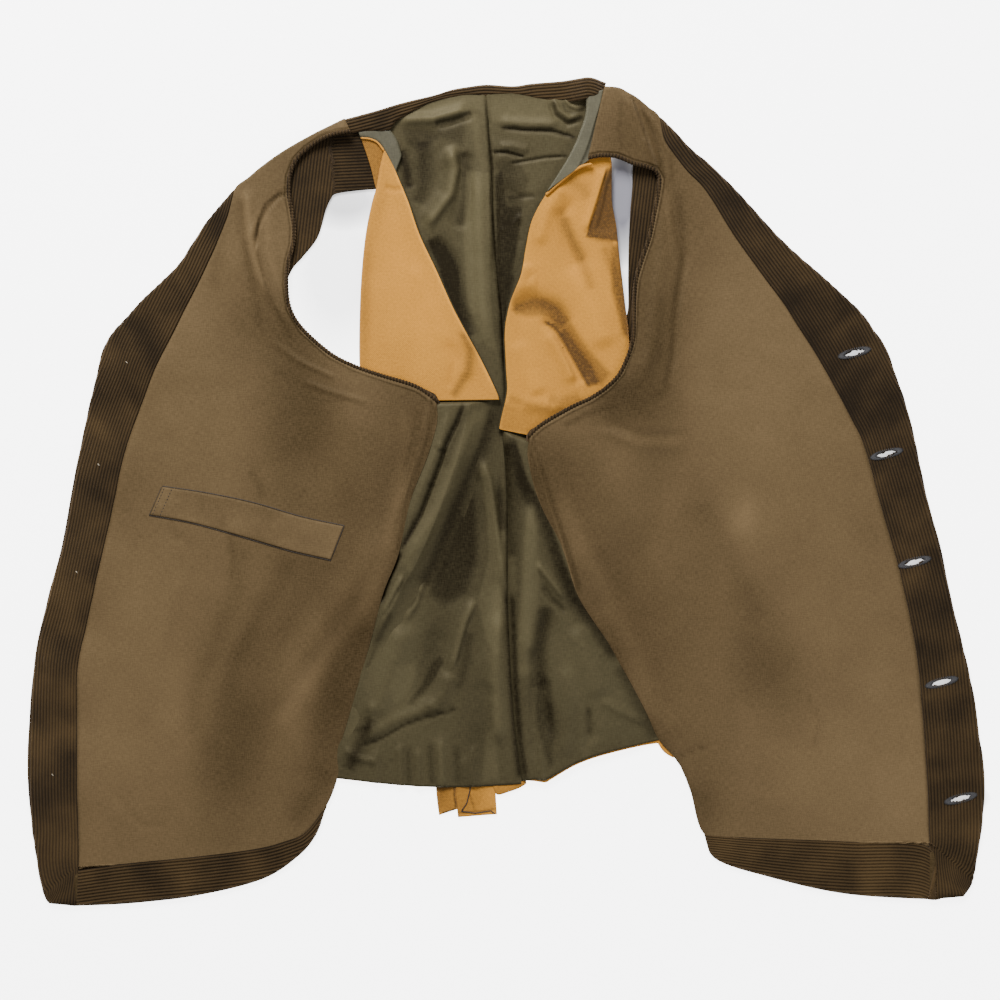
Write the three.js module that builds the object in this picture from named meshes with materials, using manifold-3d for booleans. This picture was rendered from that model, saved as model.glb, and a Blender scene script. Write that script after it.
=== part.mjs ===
// A work waistcoat opened out flat on a table, lining up and neck at the top.
// Millimetres, +Z up. The origin is on the table, under the middle of the garment.
// Sides are the wearer's: the right front, with the buttons, lies at -X, and the left front,
// with the buttonholes, at +X. The back is one cloth that folds over itself beside each armhole.
import * as THREE from 'three';
import Module from 'manifold-3d';

const wasm = await Module();
wasm.setup();

// Driving sizes.
const GARMENT_WIDTH = 745;
const CORDUROY = 1.3;
const TWILL = 1.2;
const LINING = 1.0;
const SEAM_GAP = 0.3;
const BUTTON = { radius: 7.5, thickness: 2.6, rim: 0.7, hole: 0.9, holeSpread: 2.0 };
const BUTTONHOLE = { length: 15.6, width: 4.2 };
const POCKET_WELT_LIFT = 0.6;
const STRAP_THICKNESS = 1.3;

// Heights of the layers where the back is folded: the main back lies lowest, the flap shows
// its twill side, and the side strip and the fronts lie over the flap.
const MAIN_TOP = TWILL + SEAM_GAP + LINING;
const FLAP_LOW = MAIN_TOP + 1.4;
const FLAP_TOP = FLAP_LOW + MAIN_TOP;
const OVER_FLAP = FLAP_TOP + 1.4;
const OVER_STRAP = CORDUROY + 1.4;
const SLOPE_START = 10;
const SLOPE_LENGTH = 52;
const ROLL_STEPS = 4;
const ROLL_LEG = 2;
const ROLL_SUNK = 0.1;

// The outline tables are in squares of a chart laid over the open garment, x to the right
// and y down. The garment is CHART.width squares wide.
const CHART = { width: 956, middleX: 506.35, middleY: 492.4 };
const SQUARE = GARMENT_WIDTH / CHART.width;

// Right front. Columns: front edge x, y, inner edge of the facing x, y, top of the hem facing
// x, y, and side x, y. The side is the armhole, then the side seam, then the hem.
const RIGHT_FRONT = [
  [345, 120, 345, 120, 352, 134, 352, 134],
  [328, 128, 328, 128, 337, 136, 337, 136],
  [315, 134, 315, 134, 323, 141, 323, 141],
  [300, 142, 300, 142, 309, 150, 309, 150],
  [280, 154, 280, 154, 298, 161, 298, 161],
  [262, 167, 262, 167, 291.5, 177, 291.5, 177],
  [249, 178, 249, 178, 290.5, 195, 290.5, 195],
  [235, 190, 235, 190, 293.5, 212, 293.5, 212],
  [221, 206, 228, 217, 296, 230, 296, 230],
  [207, 223, 219, 240, 295, 245, 295, 245],
  [193, 244, 210, 260, 290, 264, 290, 264],
  [179, 265, 198, 285, 288.6, 286, 288.6, 286],
  [161, 283, 186, 308, 292, 309, 292, 309],
  [143, 300, 174, 332, 304, 329, 304, 329],
  [126, 319, 161, 358, 332, 354, 332, 354],
  [112, 335, 152, 378, 357, 367, 357, 367],
  [103, 353, 144, 400, 383, 376, 383, 376],
  [97, 378, 136, 420, 418, 387, 418, 387],
  [90, 405, 129, 441, 440, 402, 440, 402],
  [84, 435, 122, 467, 430, 450, 430, 450],
  [76, 475, 115, 500, 411, 500, 411, 500],
  [69, 512, 106, 540, 399, 554, 399, 554],
  [61, 555, 96, 585, 384, 592, 384, 592],
  [50, 593, 87, 625, 372, 637, 372, 637],
  [39, 640, 79, 664, 361, 675, 361, 675],
  [33, 685, 77.5, 705, 350, 713, 350, 713],
  [30, 725, 77.5, 740, 339.5, 750, 339.5, 750],
  [28.7, 757, 78, 768, 338, 776, 338, 776],
  [29.5, 785, 78, 796, 327, 805, 327, 805],
  [31, 810, 78.5, 820, 306, 832, 316, 835],
  [33, 830, 79, 840, 287, 841, 297, 857],
  [36, 850, 79, 853, 255, 849, 262, 879],
  [39, 870, 79, 861, 191, 857, 198, 895],
  [42, 885, 79, 866, 128, 863, 130, 903],
  [46, 897, 79, 870, 79, 870, 77, 905.5],
  [50, 903, 77, 905.5, 77, 905.5, 77, 905.5],
];

// Left front, in the same columns.
const LEFT_FRONT = [
  [604, 88, 604, 88, 587, 161, 587, 161],
  [618, 89, 618, 89, 600, 158.5, 600, 158.5],
  [628, 94, 628, 94, 616, 159.5, 616, 159.5],
  [637, 99, 637, 99, 632, 166, 632, 166],
  [648, 108, 648, 108, 645, 169, 645, 169],
  [659, 117.5, 659, 117.5, 654, 172.5, 654, 172.5],
  [672, 130, 664, 140, 658.5, 180, 658.5, 180],
  [691, 150, 675, 157, 657.5, 190, 657.5, 190],
  [707, 163, 687, 172, 655, 203, 655, 203],
  [722, 177, 702, 187, 651, 222, 651, 222],
  [738, 193, 714, 204, 647, 240, 647, 240],
  [757, 214, 730, 230, 640, 260, 640, 260],
  [777, 236, 746, 253, 634, 280, 634, 280],
  [798, 256, 764, 278, 632, 300, 632, 300],
  [819, 274, 782, 302, 631.5, 320, 631.5, 320],
  [840, 293, 798, 327, 630, 344, 630, 344],
  [860, 312, 814, 352, 619, 372, 619, 372],
  [874, 331, 828, 376, 607, 386, 607, 386],
  [886, 349, 840, 398, 590, 398, 590, 398],
  [895, 375, 852, 421, 569, 408, 569, 408],
  [904, 400, 862, 441, 541, 424, 541, 424],
  [913, 434, 871, 470, 526, 437, 526, 437],
  [922, 478, 880, 504, 531, 475, 531, 475],
  [930, 512, 889, 535, 541, 506, 541, 506],
  [940, 548, 899, 570, 562, 548, 562, 548],
  [949, 590, 907, 605, 577, 594, 577, 594],
  [957, 625, 914, 640, 600, 631, 600, 631],
  [966, 662, 919, 677, 623, 669, 623, 669],
  [974, 700, 922, 712, 645, 710, 645, 710],
  [979, 738, 924.5, 742, 659, 740, 659, 740],
  [982, 757, 925.5, 762, 678, 762, 678, 762],
  [984, 780, 927, 785, 690, 790, 690, 790],
  [983, 808, 928, 812, 704, 834, 704, 834],
  [980, 835, 928.5, 828, 740, 837, 716, 859],
  [977, 855, 929, 838, 790, 839, 770, 877],
  [974, 872, 929, 843, 850, 841.5, 845, 893.5],
  [971, 884, 929, 847, 929, 847, 929, 899],
  [963, 896, 929, 899, 929, 899, 929, 899],
];

// Main backs. Columns: centre seam x, y, outer fold x, y, and how far the row sags between.
const RIGHT_BACK = [
  [485, 96, 430, 102.5, 0],
  [486, 108, 411, 112, 0],
  [487, 122, 396, 122, 0],
  [488, 136, 388, 131, 0],
  [489, 150, 384, 149, 0],
  [490, 167, 382, 165, 0],
  [492, 187, 380, 187, 0],
  [492, 208, 376, 208, 0],
  [493, 238, 370, 238, 0],
  [496, 275, 366.5, 275, 0],
  [501, 315, 364.5, 315, 0],
  [503, 360, 364, 360, 0],
  [505, 399, 366, 399, 0],
  [507, 450, 382, 450, 0],
  [507, 500, 396, 500, 0],
  [506, 554, 399, 554, 0],
  [507, 592, 391, 592, 0],
  [511, 637, 372, 637, 0],
  [513, 675, 361, 675, 1],
  [515, 713, 350, 713, 3],
  [519, 750, 339.5, 750, 5],
  [524, 783, 339.5, 778, 6],
];
const LEFT_BACK = [
  [485.5, 96, 585, 99.5, 0],
  [487, 112, 600, 112, 0],
  [488, 131, 602, 131, 0],
  [489, 149, 605, 149, 0],
  [490.5, 165, 608, 165, 0],
  [491.5, 182, 608, 182, 0],
  [492, 200, 607.6, 200, 0],
  [492.5, 224, 612.5, 224, 0],
  [494, 250, 615, 250, 0],
  [496.5, 275, 618, 275, 0],
  [500, 305, 622, 305, 0],
  [502, 335, 625.5, 335, 0],
  [503.5, 370, 626, 370, 0],
  [505, 400, 623, 400, 0],
  [506.5, 430, 616, 430, 0],
  [507, 470, 599, 470, 0],
  [507, 505, 584, 505, 0],
  [506.5, 550, 562, 550, 0],
  [507.5, 596, 541, 596, 0],
];

// Flaps. Columns: outer fold x, y, and the free edge x, y, which is the back armhole and then
// the fold that turns up to the side strip.
const RIGHT_FLAP = [
  [363, 138, 384, 149.5],
  [369, 160, 391, 161],
  [380, 187, 402, 187],
  [376, 208, 411, 208],
  [370, 238, 421, 238],
  [366.5, 275, 439, 275],
  [364.5, 315, 457, 315],
  [364, 360, 482, 360],
  [366, 399, 498, 399],
  [382, 450, 480, 450],
  [396, 500, 459, 500],
  [399, 554, 431, 554],
  [391, 592, 412, 592],
];
const LEFT_FLAP = [
  [600, 112, 586, 112],
  [602, 131, 579, 131],
  [605, 149, 572, 149],
  [608, 165, 565, 165],
  [608, 182, 554, 182],
  [607.6, 200, 543, 200],
  [612.5, 224, 533, 224],
  [615, 250, 525, 250],
  [618, 275, 521, 275],
  [622, 305, 514, 305],
  [625.5, 335, 508, 335],
  [626, 370, 508, 370],
  [623, 400, 506, 400],
  [616, 430, 500, 427],
  [599, 470, 505, 470],
  [584, 505, 509, 505],
  [562, 550, 511, 550],
];
const FLAP_FOLD_FROM = { right: 3, left: 0 };
const SIDE_FOLD_FROM = { right: 8, left: 13 };
const SHOULDER_FOLD_ROWS = 5;
const RIGHT_BACK_RISE = { from: 655, to: 700 };

// Side strips, lining up over the flaps. Columns: fold x, y and side seam x, y.
const RIGHT_SIDE = [
  [498, 399, 440, 402],
  [480, 450, 430, 450],
  [459, 500, 411, 500],
  [431, 554, 399, 554],
  [412, 592, 384, 592],
  [393, 637, 372, 637],
];
const LEFT_SIDE = [
  [500, 427, 526, 437],
  [505, 470, 531, 475],
  [509, 505, 541, 506],
  [511, 550, 562, 548],
  [510, 596, 577, 594],
  [512, 640, 600, 631],
  [514, 682, 623, 669],
  [517, 728, 645, 710],
  [524, 780, 659, 740],
];
const LEFT_SHOULDER = [
  [588, 100, 602.5, 94],
  [581, 126, 597.7, 115],
  [572, 149, 592.6, 137],
  [560, 171, 588.9, 153],
  [545, 193, 587, 161],
];

// Neck halves of the shoulder straps, turned under with the corduroy up.
// Columns: fold x, y and neck edge x, y.
const RIGHT_STRAP = [
  [235, 190, 294, 267],
  [249, 178, 303, 257],
  [262, 167, 318, 237],
  [280, 154, 326, 210],
  [300, 142, 331, 201],
  [315, 134, 336, 194],
  [345, 120, 355, 191],
  [361, 117, 373, 189],
];
const LEFT_STRAP = [
  [628, 94, 633, 172],
  [637, 99, 632, 190],
  [648, 108, 630, 215],
  [659, 117.5, 628.5, 250],
  [668, 160, 628, 280],
  [655, 240, 629, 308],
];
const STRAP_FOLD_ROWS = { right: 7, left: 4 };

// Neck band. Columns: outer edge x, y and the edge sewn to the back x, y.
const NECK_BAND = [
  [345, 120, 352.5, 134],
  [362, 115.5, 365, 132.5],
  [380, 110.5, 388, 131],
  [396, 105.5, 396, 122],
  [414, 100.5, 411, 112],
  [436, 95, 430, 102.5],
  [452, 90, 448, 100.4],
  [469, 87, 467, 98.2],
  [487, 85, 485, 96],
  [513, 86.5, 510, 96.9],
  [532, 84, 535, 97.75],
  [558, 82, 560, 98.6],
  [584, 79.3, 585, 99.5],
  [602, 81.5, 601, 93.5],
];

// Inner pocket welt and the ends of the waist strap. Columns: one edge x, y, the other x, y.
const POCKET_WELT = [
  [162.5, 486.5, 150, 516],
  [206, 493, 193, 523],
  [254, 503, 242, 536.5],
  [302, 517, 290, 550.5],
  [343.5, 526, 331, 560],
];
const STRAP_ENDS = [
  [[435.5, 787.2, 453, 787.3], [439, 815, 455, 810.5]],
  [[455, 787.2, 494, 786], [458, 818, 497, 814]],
];

// Centres of the buttons under the right front, and of the buttonholes in the left front.
const BUTTONS = [[128, 363], [100, 465], [78, 572], [59, 672], [54, 774]];
const BUTTONHOLES = [[854, 353], [886, 454], [914, 562], [941, 682], [960, 798]];
const BUTTONHOLE_TILT = 0.21;
const CUTTER_DEPTH = 30;
const BUTTON_BUMP = { height: 4.8, reach: 46 };

const COLOURS = {
  corduroy: 0x48392a,
  sateen: 0x76644a,
  satin: 0x5c5641,
  twill: 0xd2a160,
  strap: 0xbe925a,
  button: 0x33291f,
};

function toPlan(x, y) {
  return new THREE.Vector2((x - CHART.middleX) * SQUARE, (CHART.middleY - y) * SQUARE);
}

// Points on the straight lines across a table's rows, with the given number of steps
// between one pair of columns and the next.
function planGrid(table, steps, sag = false) {
  return table.map((row) => {
    const edges = steps.map((_, k) => toPlan(row[2 * k], row[2 * k + 1]));
    edges.push(toPlan(row[2 * steps.length], row[2 * steps.length + 1]));
    const points = [edges[0]];
    steps.forEach((count, k) => {
      for (let i = 1; i <= count; i += 1) {
        points.push(edges[k].clone().lerp(edges[k + 1], i / count));
      }
    });
    if (sag) {
      const depth = row[row.length - 1] * SQUARE;
      points.forEach((p, i) => {
        p.y -= depth * Math.sin((Math.PI * i) / (points.length - 1));
      });
    }
    return points;
  });
}

function outlineOf(table) {
  const there = table.map((row) => toPlan(row[0], row[1]));
  const back = table.map((row) => toPlan(row[2], row[3])).reverse();
  return there.concat(back);
}

function isInside(point, outline) {
  let inside = false;
  outline.forEach((a, i) => {
    const b = outline[(i + 1) % outline.length];
    const crosses = (a.y > point.y) !== (b.y > point.y);
    if (crosses && point.x < ((b.x - a.x) * (point.y - a.y)) / (b.y - a.y) + a.x) {
      inside = !inside;
    }
  });
  return inside;
}

function distanceTo(point, outline) {
  if (isInside(point, outline)) {
    return 0;
  }
  const segment = new THREE.Line3();
  const spot = new THREE.Vector3(point.x, point.y, 0);
  const nearest = new THREE.Vector3();
  let best = Infinity;
  outline.forEach((a, i) => {
    const b = outline[(i + 1) % outline.length];
    segment.set(new THREE.Vector3(a.x, a.y, 0), new THREE.Vector3(b.x, b.y, 0));
    segment.closestPointToPoint(spot, true, nearest);
    best = Math.min(best, nearest.distanceTo(spot));
  });
  return best;
}

const FLAP_OUTLINES = [outlineOf(RIGHT_FLAP), outlineOf(LEFT_FLAP)];
const STRAP_OUTLINES = [outlineOf(RIGHT_STRAP), outlineOf(LEFT_STRAP)];

function liftOver(point, outlines, height) {
  const distances = outlines.map((outline) => distanceTo(point, outline));
  const along = (Math.min(...distances) - SLOPE_START) / SLOPE_LENGTH;
  return height * (1 - THREE.MathUtils.smoothstep(along, 0, 1));
}

// Height of the underside of what lies over the flaps, the turned straps and the buttons.
function overLayers(point) {
  const overFlap = liftOver(point, FLAP_OUTLINES, OVER_FLAP);
  const overStrap = liftOver(point, STRAP_OUTLINES, OVER_STRAP);
  return Math.max(overFlap, overStrap);
}

function overButtons(point) {
  const nearest = Math.min(...BUTTONS.map(([x, y]) => toPlan(x, y).distanceTo(point)));
  const along = nearest / BUTTON_BUMP.reach;
  const bump = BUTTON_BUMP.height * (1 - THREE.MathUtils.smoothstep(along, 0, 1));
  return Math.max(overLayers(point), bump);
}

// Below the end of its flap the right back rises to the seam that it shares with the front.
function overMainBack(point) {
  const start = toPlan(0, RIGHT_BACK_RISE.from).y;
  const along = (start - point.y) / (start - toPlan(0, RIGHT_BACK_RISE.to).y);
  return overLayers(point) * THREE.MathUtils.smoothstep(along, 0, 1);
}

const onTable = () => 0;

// A closed wall between two matching grids of points. Cells that keep(row, column) refuses
// are left out, and points that fall together are made one.
function wallBetween(lower, upper, keep = () => true) {
  const positions = [];
  const known = new Map();
  const numberOf = (p) => {
    const key = [p.x, p.y, p.z].map((v) => Math.round(v * 1e4)).join(' ');
    if (!known.has(key)) {
      known.set(key, positions.length / 3);
      positions.push(p.x, p.y, p.z);
    }
    return known.get(key);
  };
  const faces = [];
  const addFace = (a, b, c) => {
    if (a !== b && b !== c && c !== a) {
      faces.push([a, b, c]);
    }
  };
  const rims = new Map();
  const addSide = (from, to) => {
    const back = `${to.key} ${from.key}`;
    if (rims.has(back)) {
      rims.delete(back);
    } else {
      rims.set(`${from.key} ${to.key}`, [from, to]);
    }
  };
  const corner = (r, c) => ({ low: numberOf(lower[r][c]), high: numberOf(upper[r][c]) });
  for (let r = 0; r + 1 < lower.length; r += 1) {
    for (let c = 0; c + 1 < lower[r].length; c += 1) {
      if (!keep(r, c)) {
        continue;
      }
      const ring = [corner(r, c), corner(r, c + 1), corner(r + 1, c + 1), corner(r + 1, c)];
      const distinct = ring.filter((k, i) => k.high !== ring[(i + 1) % 4].high);
      distinct.forEach((k) => {
        k.key = k.high;
      });
      for (let i = 1; i + 1 < distinct.length; i += 1) {
        addFace(distinct[0].high, distinct[i].high, distinct[i + 1].high);
        addFace(distinct[0].low, distinct[i + 1].low, distinct[i].low);
      }
      if (distinct.length > 2) {
        distinct.forEach((k, i) => addSide(k, distinct[(i + 1) % distinct.length]));
      }
    }
  }
  rims.forEach(([from, to]) => {
    addFace(from.high, from.low, to.low);
    addFace(from.high, to.low, to.high);
  });
  return turnOutward(positions, faces);
}

function turnOutward(positions, faces) {
  const at = (i) => new THREE.Vector3().fromArray(positions, 3 * i);
  let volume = 0;
  faces.forEach(([a, b, c]) => {
    volume += at(a).dot(at(b).cross(at(c)));
  });
  const geometry = new THREE.BufferGeometry();
  geometry.setAttribute('position', new THREE.Float32BufferAttribute(positions, 3));
  geometry.setIndex(faces.flatMap((f) => (volume > 0 ? f : [...f].reverse())));
  return geometry;
}

function meanOf(vectors) {
  const sum = new THREE.Vector2();
  vectors.forEach((v) => sum.add(v));
  return sum.divideScalar(vectors.length);
}

// The plan grid with the rim of its kept cells drawn in by half a seam gap.
function drawnIn(grid, keep = () => true) {
  const key = (p) => `${Math.round(p.x * 1e3)} ${Math.round(p.y * 1e3)}`;
  const edges = new Map();
  for (let r = 0; r + 1 < grid.length; r += 1) {
    for (let c = 0; c + 1 < grid[r].length; c += 1) {
      const ring = [grid[r][c], grid[r][c + 1], grid[r + 1][c + 1], grid[r + 1][c]];
      const distinct = ring.filter((p, i) => key(p) !== key(ring[(i + 1) % 4]));
      if (!keep(r, c) || distinct.length < 3) {
        continue;
      }
      const middle = meanOf(distinct);
      distinct.forEach((p, i) => {
        const q = distinct[(i + 1) % distinct.length];
        const name = [key(p), key(q)].sort().join(' / ');
        edges.set(name, edges.has(name) ? null : { p, q, middle });
      });
    }
  }
  const pulls = new Map();
  edges.forEach((edge) => {
    if (edge) {
      const inward = new THREE.Vector2(edge.p.y - edge.q.y, edge.q.x - edge.p.x).normalize();
      if (inward.dot(edge.middle.clone().sub(edge.p)) < 0) {
        inward.negate();
      }
      [edge.p, edge.q].forEach((p) => {
        pulls.set(key(p), (pulls.get(key(p)) ?? []).concat(inward));
      });
    }
  });
  return grid.map((row) => row.map((p) => {
    const inwards = pulls.get(key(p));
    if (!inwards) {
      return p;
    }
    const mean = meanOf(inwards);
    const pull = (SEAM_GAP / 2) / Math.max(mean.length(), 0.5);
    return p.clone().addScaledVector(mean.normalize(), pull);
  }));
}

function sheet(grid, ground, low, high, keep) {
  const trimmed = drawnIn(grid, keep);
  const raised = (height) => trimmed.map((row, r) => row.map((p, c) => (
    new THREE.Vector3(p.x, p.y, ground(grid[r][c]) + height)
  )));
  return wallBetween(raised(low), raised(high), keep);
}

// The turn of a cloth along a fold line, from one flat layer up to the one above it.
// The cloth bulges to the given side of the line, +1 for the right of its direction.
function roll(line, side, lowLayer, highLayer) {
  const inner = [];
  const outer = [];
  line.forEach((p, i) => {
    const before = line[Math.max(i - 1, 0)];
    const after = line[Math.min(i + 1, line.length - 1)];
    const along = after.clone().sub(before).normalize();
    const outward = new THREE.Vector2(along.y, -along.x).multiplyScalar(side);
    const [low, lowTop] = lowLayer;
    const [high, highTop] = highLayer(p);
    const middle = (low + highTop) / 2;
    const section = (radius) => {
      const place = (out, up) => new THREE.Vector3(p.x + outward.x * out, p.y + outward.y * out, middle + up);
      const points = [place(-ROLL_LEG, -radius)];
      for (let k = 0; k <= ROLL_STEPS; k += 1) {
        const turn = (Math.PI * k) / ROLL_STEPS - Math.PI / 2;
        points.push(place(radius * Math.cos(turn), radius * Math.sin(turn)));
      }
      points.push(place(-ROLL_LEG, radius));
      return points;
    };
    outer.push(section((highTop - low) / 2 - ROLL_SUNK));
    inner.push(section((high - lowTop) / 2 + ROLL_SUNK));
  });
  return wallBetween(inner, outer);
}

function toManifold(geometry) {
  const vertProperties = new Float32Array(geometry.getAttribute('position').array);
  const triVerts = new Uint32Array(geometry.getIndex().array);
  return new wasm.Manifold(new wasm.Mesh({ numProp: 3, vertProperties, triVerts }));
}

function fromManifold(solid) {
  const { vertProperties, triVerts } = solid.getMesh();
  const geometry = new THREE.BufferGeometry();
  geometry.setAttribute('position', new THREE.Float32BufferAttribute(vertProperties, 3));
  geometry.setIndex(Array.from(triVerts));
  return geometry;
}

function joined(geometries) {
  const solids = geometries.map(toManifold);
  return fromManifold(solids.reduce((sum, solid) => sum.add(solid)));
}

const waistcoat = new THREE.Group();

function addPiece(name, geometry, colour, roughness = 0.9) {
  const material = new THREE.MeshStandardMaterial({ color: colour, roughness, metalness: 0 });
  const mesh = new THREE.Mesh(geometry, material);
  mesh.name = name;
  waistcoat.add(mesh);
  return mesh;
}

// Each front is corduroy, with the lining, the front facing and the hem facing laid on it.
const FRONT_STEPS = [2, 8, 2];
const FACING_COLUMNS = FRONT_STEPS[0];
const HEM_COLUMN = FRONT_STEPS[0] + FRONT_STEPS[1];
const HEM_ROWS = { right: 28, left: 32 };

function addFront(side, table, ground, strapTable, bulge) {
  const grid = planGrid(table, FRONT_STEPS);
  const isFacing = (r, c) => c < FACING_COLUMNS;
  const isHem = (r, c) => c >= HEM_COLUMN && r >= HEM_ROWS[side];
  const isLining = (r, c) => !isFacing(r, c) && !isHem(r, c);
  const strap = planGrid(strapTable, [4]);
  const fold = strap.slice(0, STRAP_FOLD_ROWS[side]).map((row) => row[0]);
  const turnedUnder = (p) => [ground(p), ground(p) + CORDUROY];
  let outer = joined([
    sheet(grid, ground, 0, CORDUROY),
    sheet(strap, onTable, 0, CORDUROY),
    roll(fold, bulge, [0, CORDUROY], turnedUnder),
  ]);
  const overOuter = CORDUROY + SEAM_GAP;
  let facing = sheet(grid, ground, overOuter, overOuter + CORDUROY, isFacing);
  if (side === 'left') {
    outer = withButtonholes(outer);
    facing = withButtonholes(facing);
  }
  addPiece(`front_outer_${side}`, outer, COLOURS.corduroy);
  addPiece(`front_facing_${side}`, facing, COLOURS.corduroy);
  const hemFacing = sheet(grid, ground, overOuter, overOuter + CORDUROY, isHem);
  addPiece(`hem_facing_${side}`, hemFacing, COLOURS.corduroy);
  const lining = sheet(grid, ground, overOuter, overOuter + LINING, isLining);
  addPiece(`front_lining_${side}`, lining, COLOURS.sateen, 0.6);
}

function withButtonholes(geometry) {
  const slit = new THREE.Shape();
  slit.absellipse(0, 0, BUTTONHOLE.length / 2, BUTTONHOLE.width / 2, 0, 2 * Math.PI, false, BUTTONHOLE_TILT);
  const cut = { depth: CUTTER_DEPTH, bevelEnabled: false, curveSegments: 4 };
  let solid = toManifold(geometry);
  BUTTONHOLES.forEach(([x, y]) => {
    const cutter = new THREE.ExtrudeGeometry(slit, cut);
    const spot = toPlan(x, y);
    cutter.translate(spot.x, spot.y, -CUTTER_DEPTH / 2);
    solid = solid.subtract(toManifold(weld(cutter)));
  });
  return fromManifold(solid);
}

function weld(geometry) {
  const source = geometry.getAttribute('position');
  const order = geometry.getIndex() ? Array.from(geometry.getIndex().array) : [...Array(source.count).keys()];
  const positions = [];
  const known = new Map();
  const number = order.map((i) => {
    const point = [source.getX(i), source.getY(i), source.getZ(i)];
    const key = point.map((v) => Math.round(v * 1e4)).join(' ');
    if (!known.has(key)) {
      known.set(key, positions.length / 3);
      positions.push(...point);
    }
    return known.get(key);
  });
  const faces = [];
  for (let i = 0; i < number.length; i += 3) {
    const [a, b, c] = number.slice(i, i + 3);
    if (a !== b && b !== c && c !== a) {
      faces.push([a, b, c]);
    }
  }
  return turnOutward(positions, faces);
}

// Each back half is twill outside and satin lining inside. Both run from the centre seam to
// the outer fold, back over themselves as the flap, and up again as the side strip.
function addBack(side, tables, bulge) {
  const main = planGrid(tables.main, [6], true);
  const flap = planGrid(tables.flap, [4]);
  const strip = planGrid(tables.strip, [3]);
  const foldFrom = FLAP_FOLD_FROM[side];
  const sideFrom = SIDE_FOLD_FROM[side];
  const outerFold = flap.slice(foldFrom).map((row) => row[0]);
  const innerFold = flap.slice(sideFrom).map((row) => row[row.length - 1]);
  const liningLow = TWILL + SEAM_GAP;
  const layers = {
    outer: { low: 0, high: TWILL, flapLow: FLAP_LOW + LINING + SEAM_GAP, thick: TWILL, stripLow: 0 },
    lining: { low: liningLow, high: MAIN_TOP, flapLow: FLAP_LOW, thick: LINING, stripLow: liningLow },
  };
  Object.entries(layers).forEach(([name, layer]) => {
    const flapTop = layer.flapLow + layer.thick;
    const stripLow = OVER_FLAP + layer.stripLow;
    const overFlapLayer = () => [stripLow, stripLow + layer.thick];
    const pieces = [
      sheet(main, side === 'right' ? overMainBack : onTable, layer.low, layer.high),
      sheet(flap, onTable, layer.flapLow, flapTop),
      sheet(strip, overLayers, layer.stripLow, layer.stripLow + layer.thick),
      roll(outerFold, bulge, [layer.low, layer.high], () => [layer.flapLow, flapTop]),
      roll(innerFold, -bulge, [layer.flapLow, flapTop], overFlapLayer),
    ];
    if (tables.shoulder) {
      const shoulderFold = flap.slice(0, SHOULDER_FOLD_ROWS).map((row) => row[row.length - 1]);
      const shoulder = planGrid(tables.shoulder, [2]);
      pieces.push(sheet(shoulder, overLayers, layer.stripLow, layer.stripLow + layer.thick));
      pieces.push(roll(shoulderFold, -bulge, [layer.flapLow, flapTop], overFlapLayer));
    }
    const colour = name === 'outer' ? COLOURS.twill : COLOURS.satin;
    addPiece(`back_${name}_${side}`, joined(pieces), colour, name === 'outer' ? 0.9 : 0.45);
  });
}

function addButtons() {
  const { radius, thickness, rim } = BUTTON;
  const profile = [[0, 0], [radius - rim, 0], [radius, rim], [radius, thickness - rim],
    [radius - rim, thickness], [radius - 2 * rim, thickness - rim], [0, thickness - rim]];
  const points = profile.map(([r, z]) => new THREE.Vector2(r, z));
  const blank = weld(new THREE.LatheGeometry(points, 16).rotateX(Math.PI / 2));
  let pierced = toManifold(blank);
  [[1, 1], [-1, 1], [-1, -1], [1, -1]].forEach(([x, y]) => {
    const drill = new THREE.CylinderGeometry(BUTTON.hole, BUTTON.hole, 4 * thickness, 6).rotateX(Math.PI / 2);
    drill.translate(x * BUTTON.holeSpread, y * BUTTON.holeSpread, 0);
    pierced = pierced.subtract(toManifold(weld(drill)));
  });
  BUTTONS.forEach(([x, y], i) => {
    const spot = toPlan(x, y);
    addPiece(`button_${i + 1}`, fromManifold(pierced), COLOURS.button, 0.5).position.set(spot.x, spot.y, 0);
  });
}

addFront('right', RIGHT_FRONT, overButtons, RIGHT_STRAP, -1);
addFront('left', LEFT_FRONT, overLayers, LEFT_STRAP, -1);
addBack('right', { main: RIGHT_BACK, flap: RIGHT_FLAP, strip: RIGHT_SIDE }, 1);
addBack('left', { main: LEFT_BACK, flap: LEFT_FLAP, strip: LEFT_SIDE, shoulder: LEFT_SHOULDER }, -1);
const bandTop = TWILL + SEAM_GAP + CORDUROY;
addPiece('neck_band', sheet(planGrid(NECK_BAND, [2]), overLayers, 0, bandTop), COLOURS.corduroy);
const weltLow = CORDUROY + SEAM_GAP + LINING + POCKET_WELT_LIFT;
const welt = sheet(planGrid(POCKET_WELT, [3]), overButtons, weltLow, weltLow + LINING);
addPiece('inner_pocket_welt', welt, COLOURS.sateen, 0.7);
STRAP_ENDS.forEach((table, i) => {
  addPiece(`waist_strap_${i + 1}`, sheet(planGrid(table, [2]), onTable, 0, STRAP_THICKNESS), COLOURS.strap);
});
addButtons();

export default waistcoat;
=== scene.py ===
"""A work waistcoat opened out flat with its lining up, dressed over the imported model.

Laid out as an add-on: one operator for each group of pieces and one for the stage.
Plan tables are in squares of the chart that the model's outlines are read from, x to the
right and y down; heights in them are in millimetres. Finished meshes are in metres.
"""
import math

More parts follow.
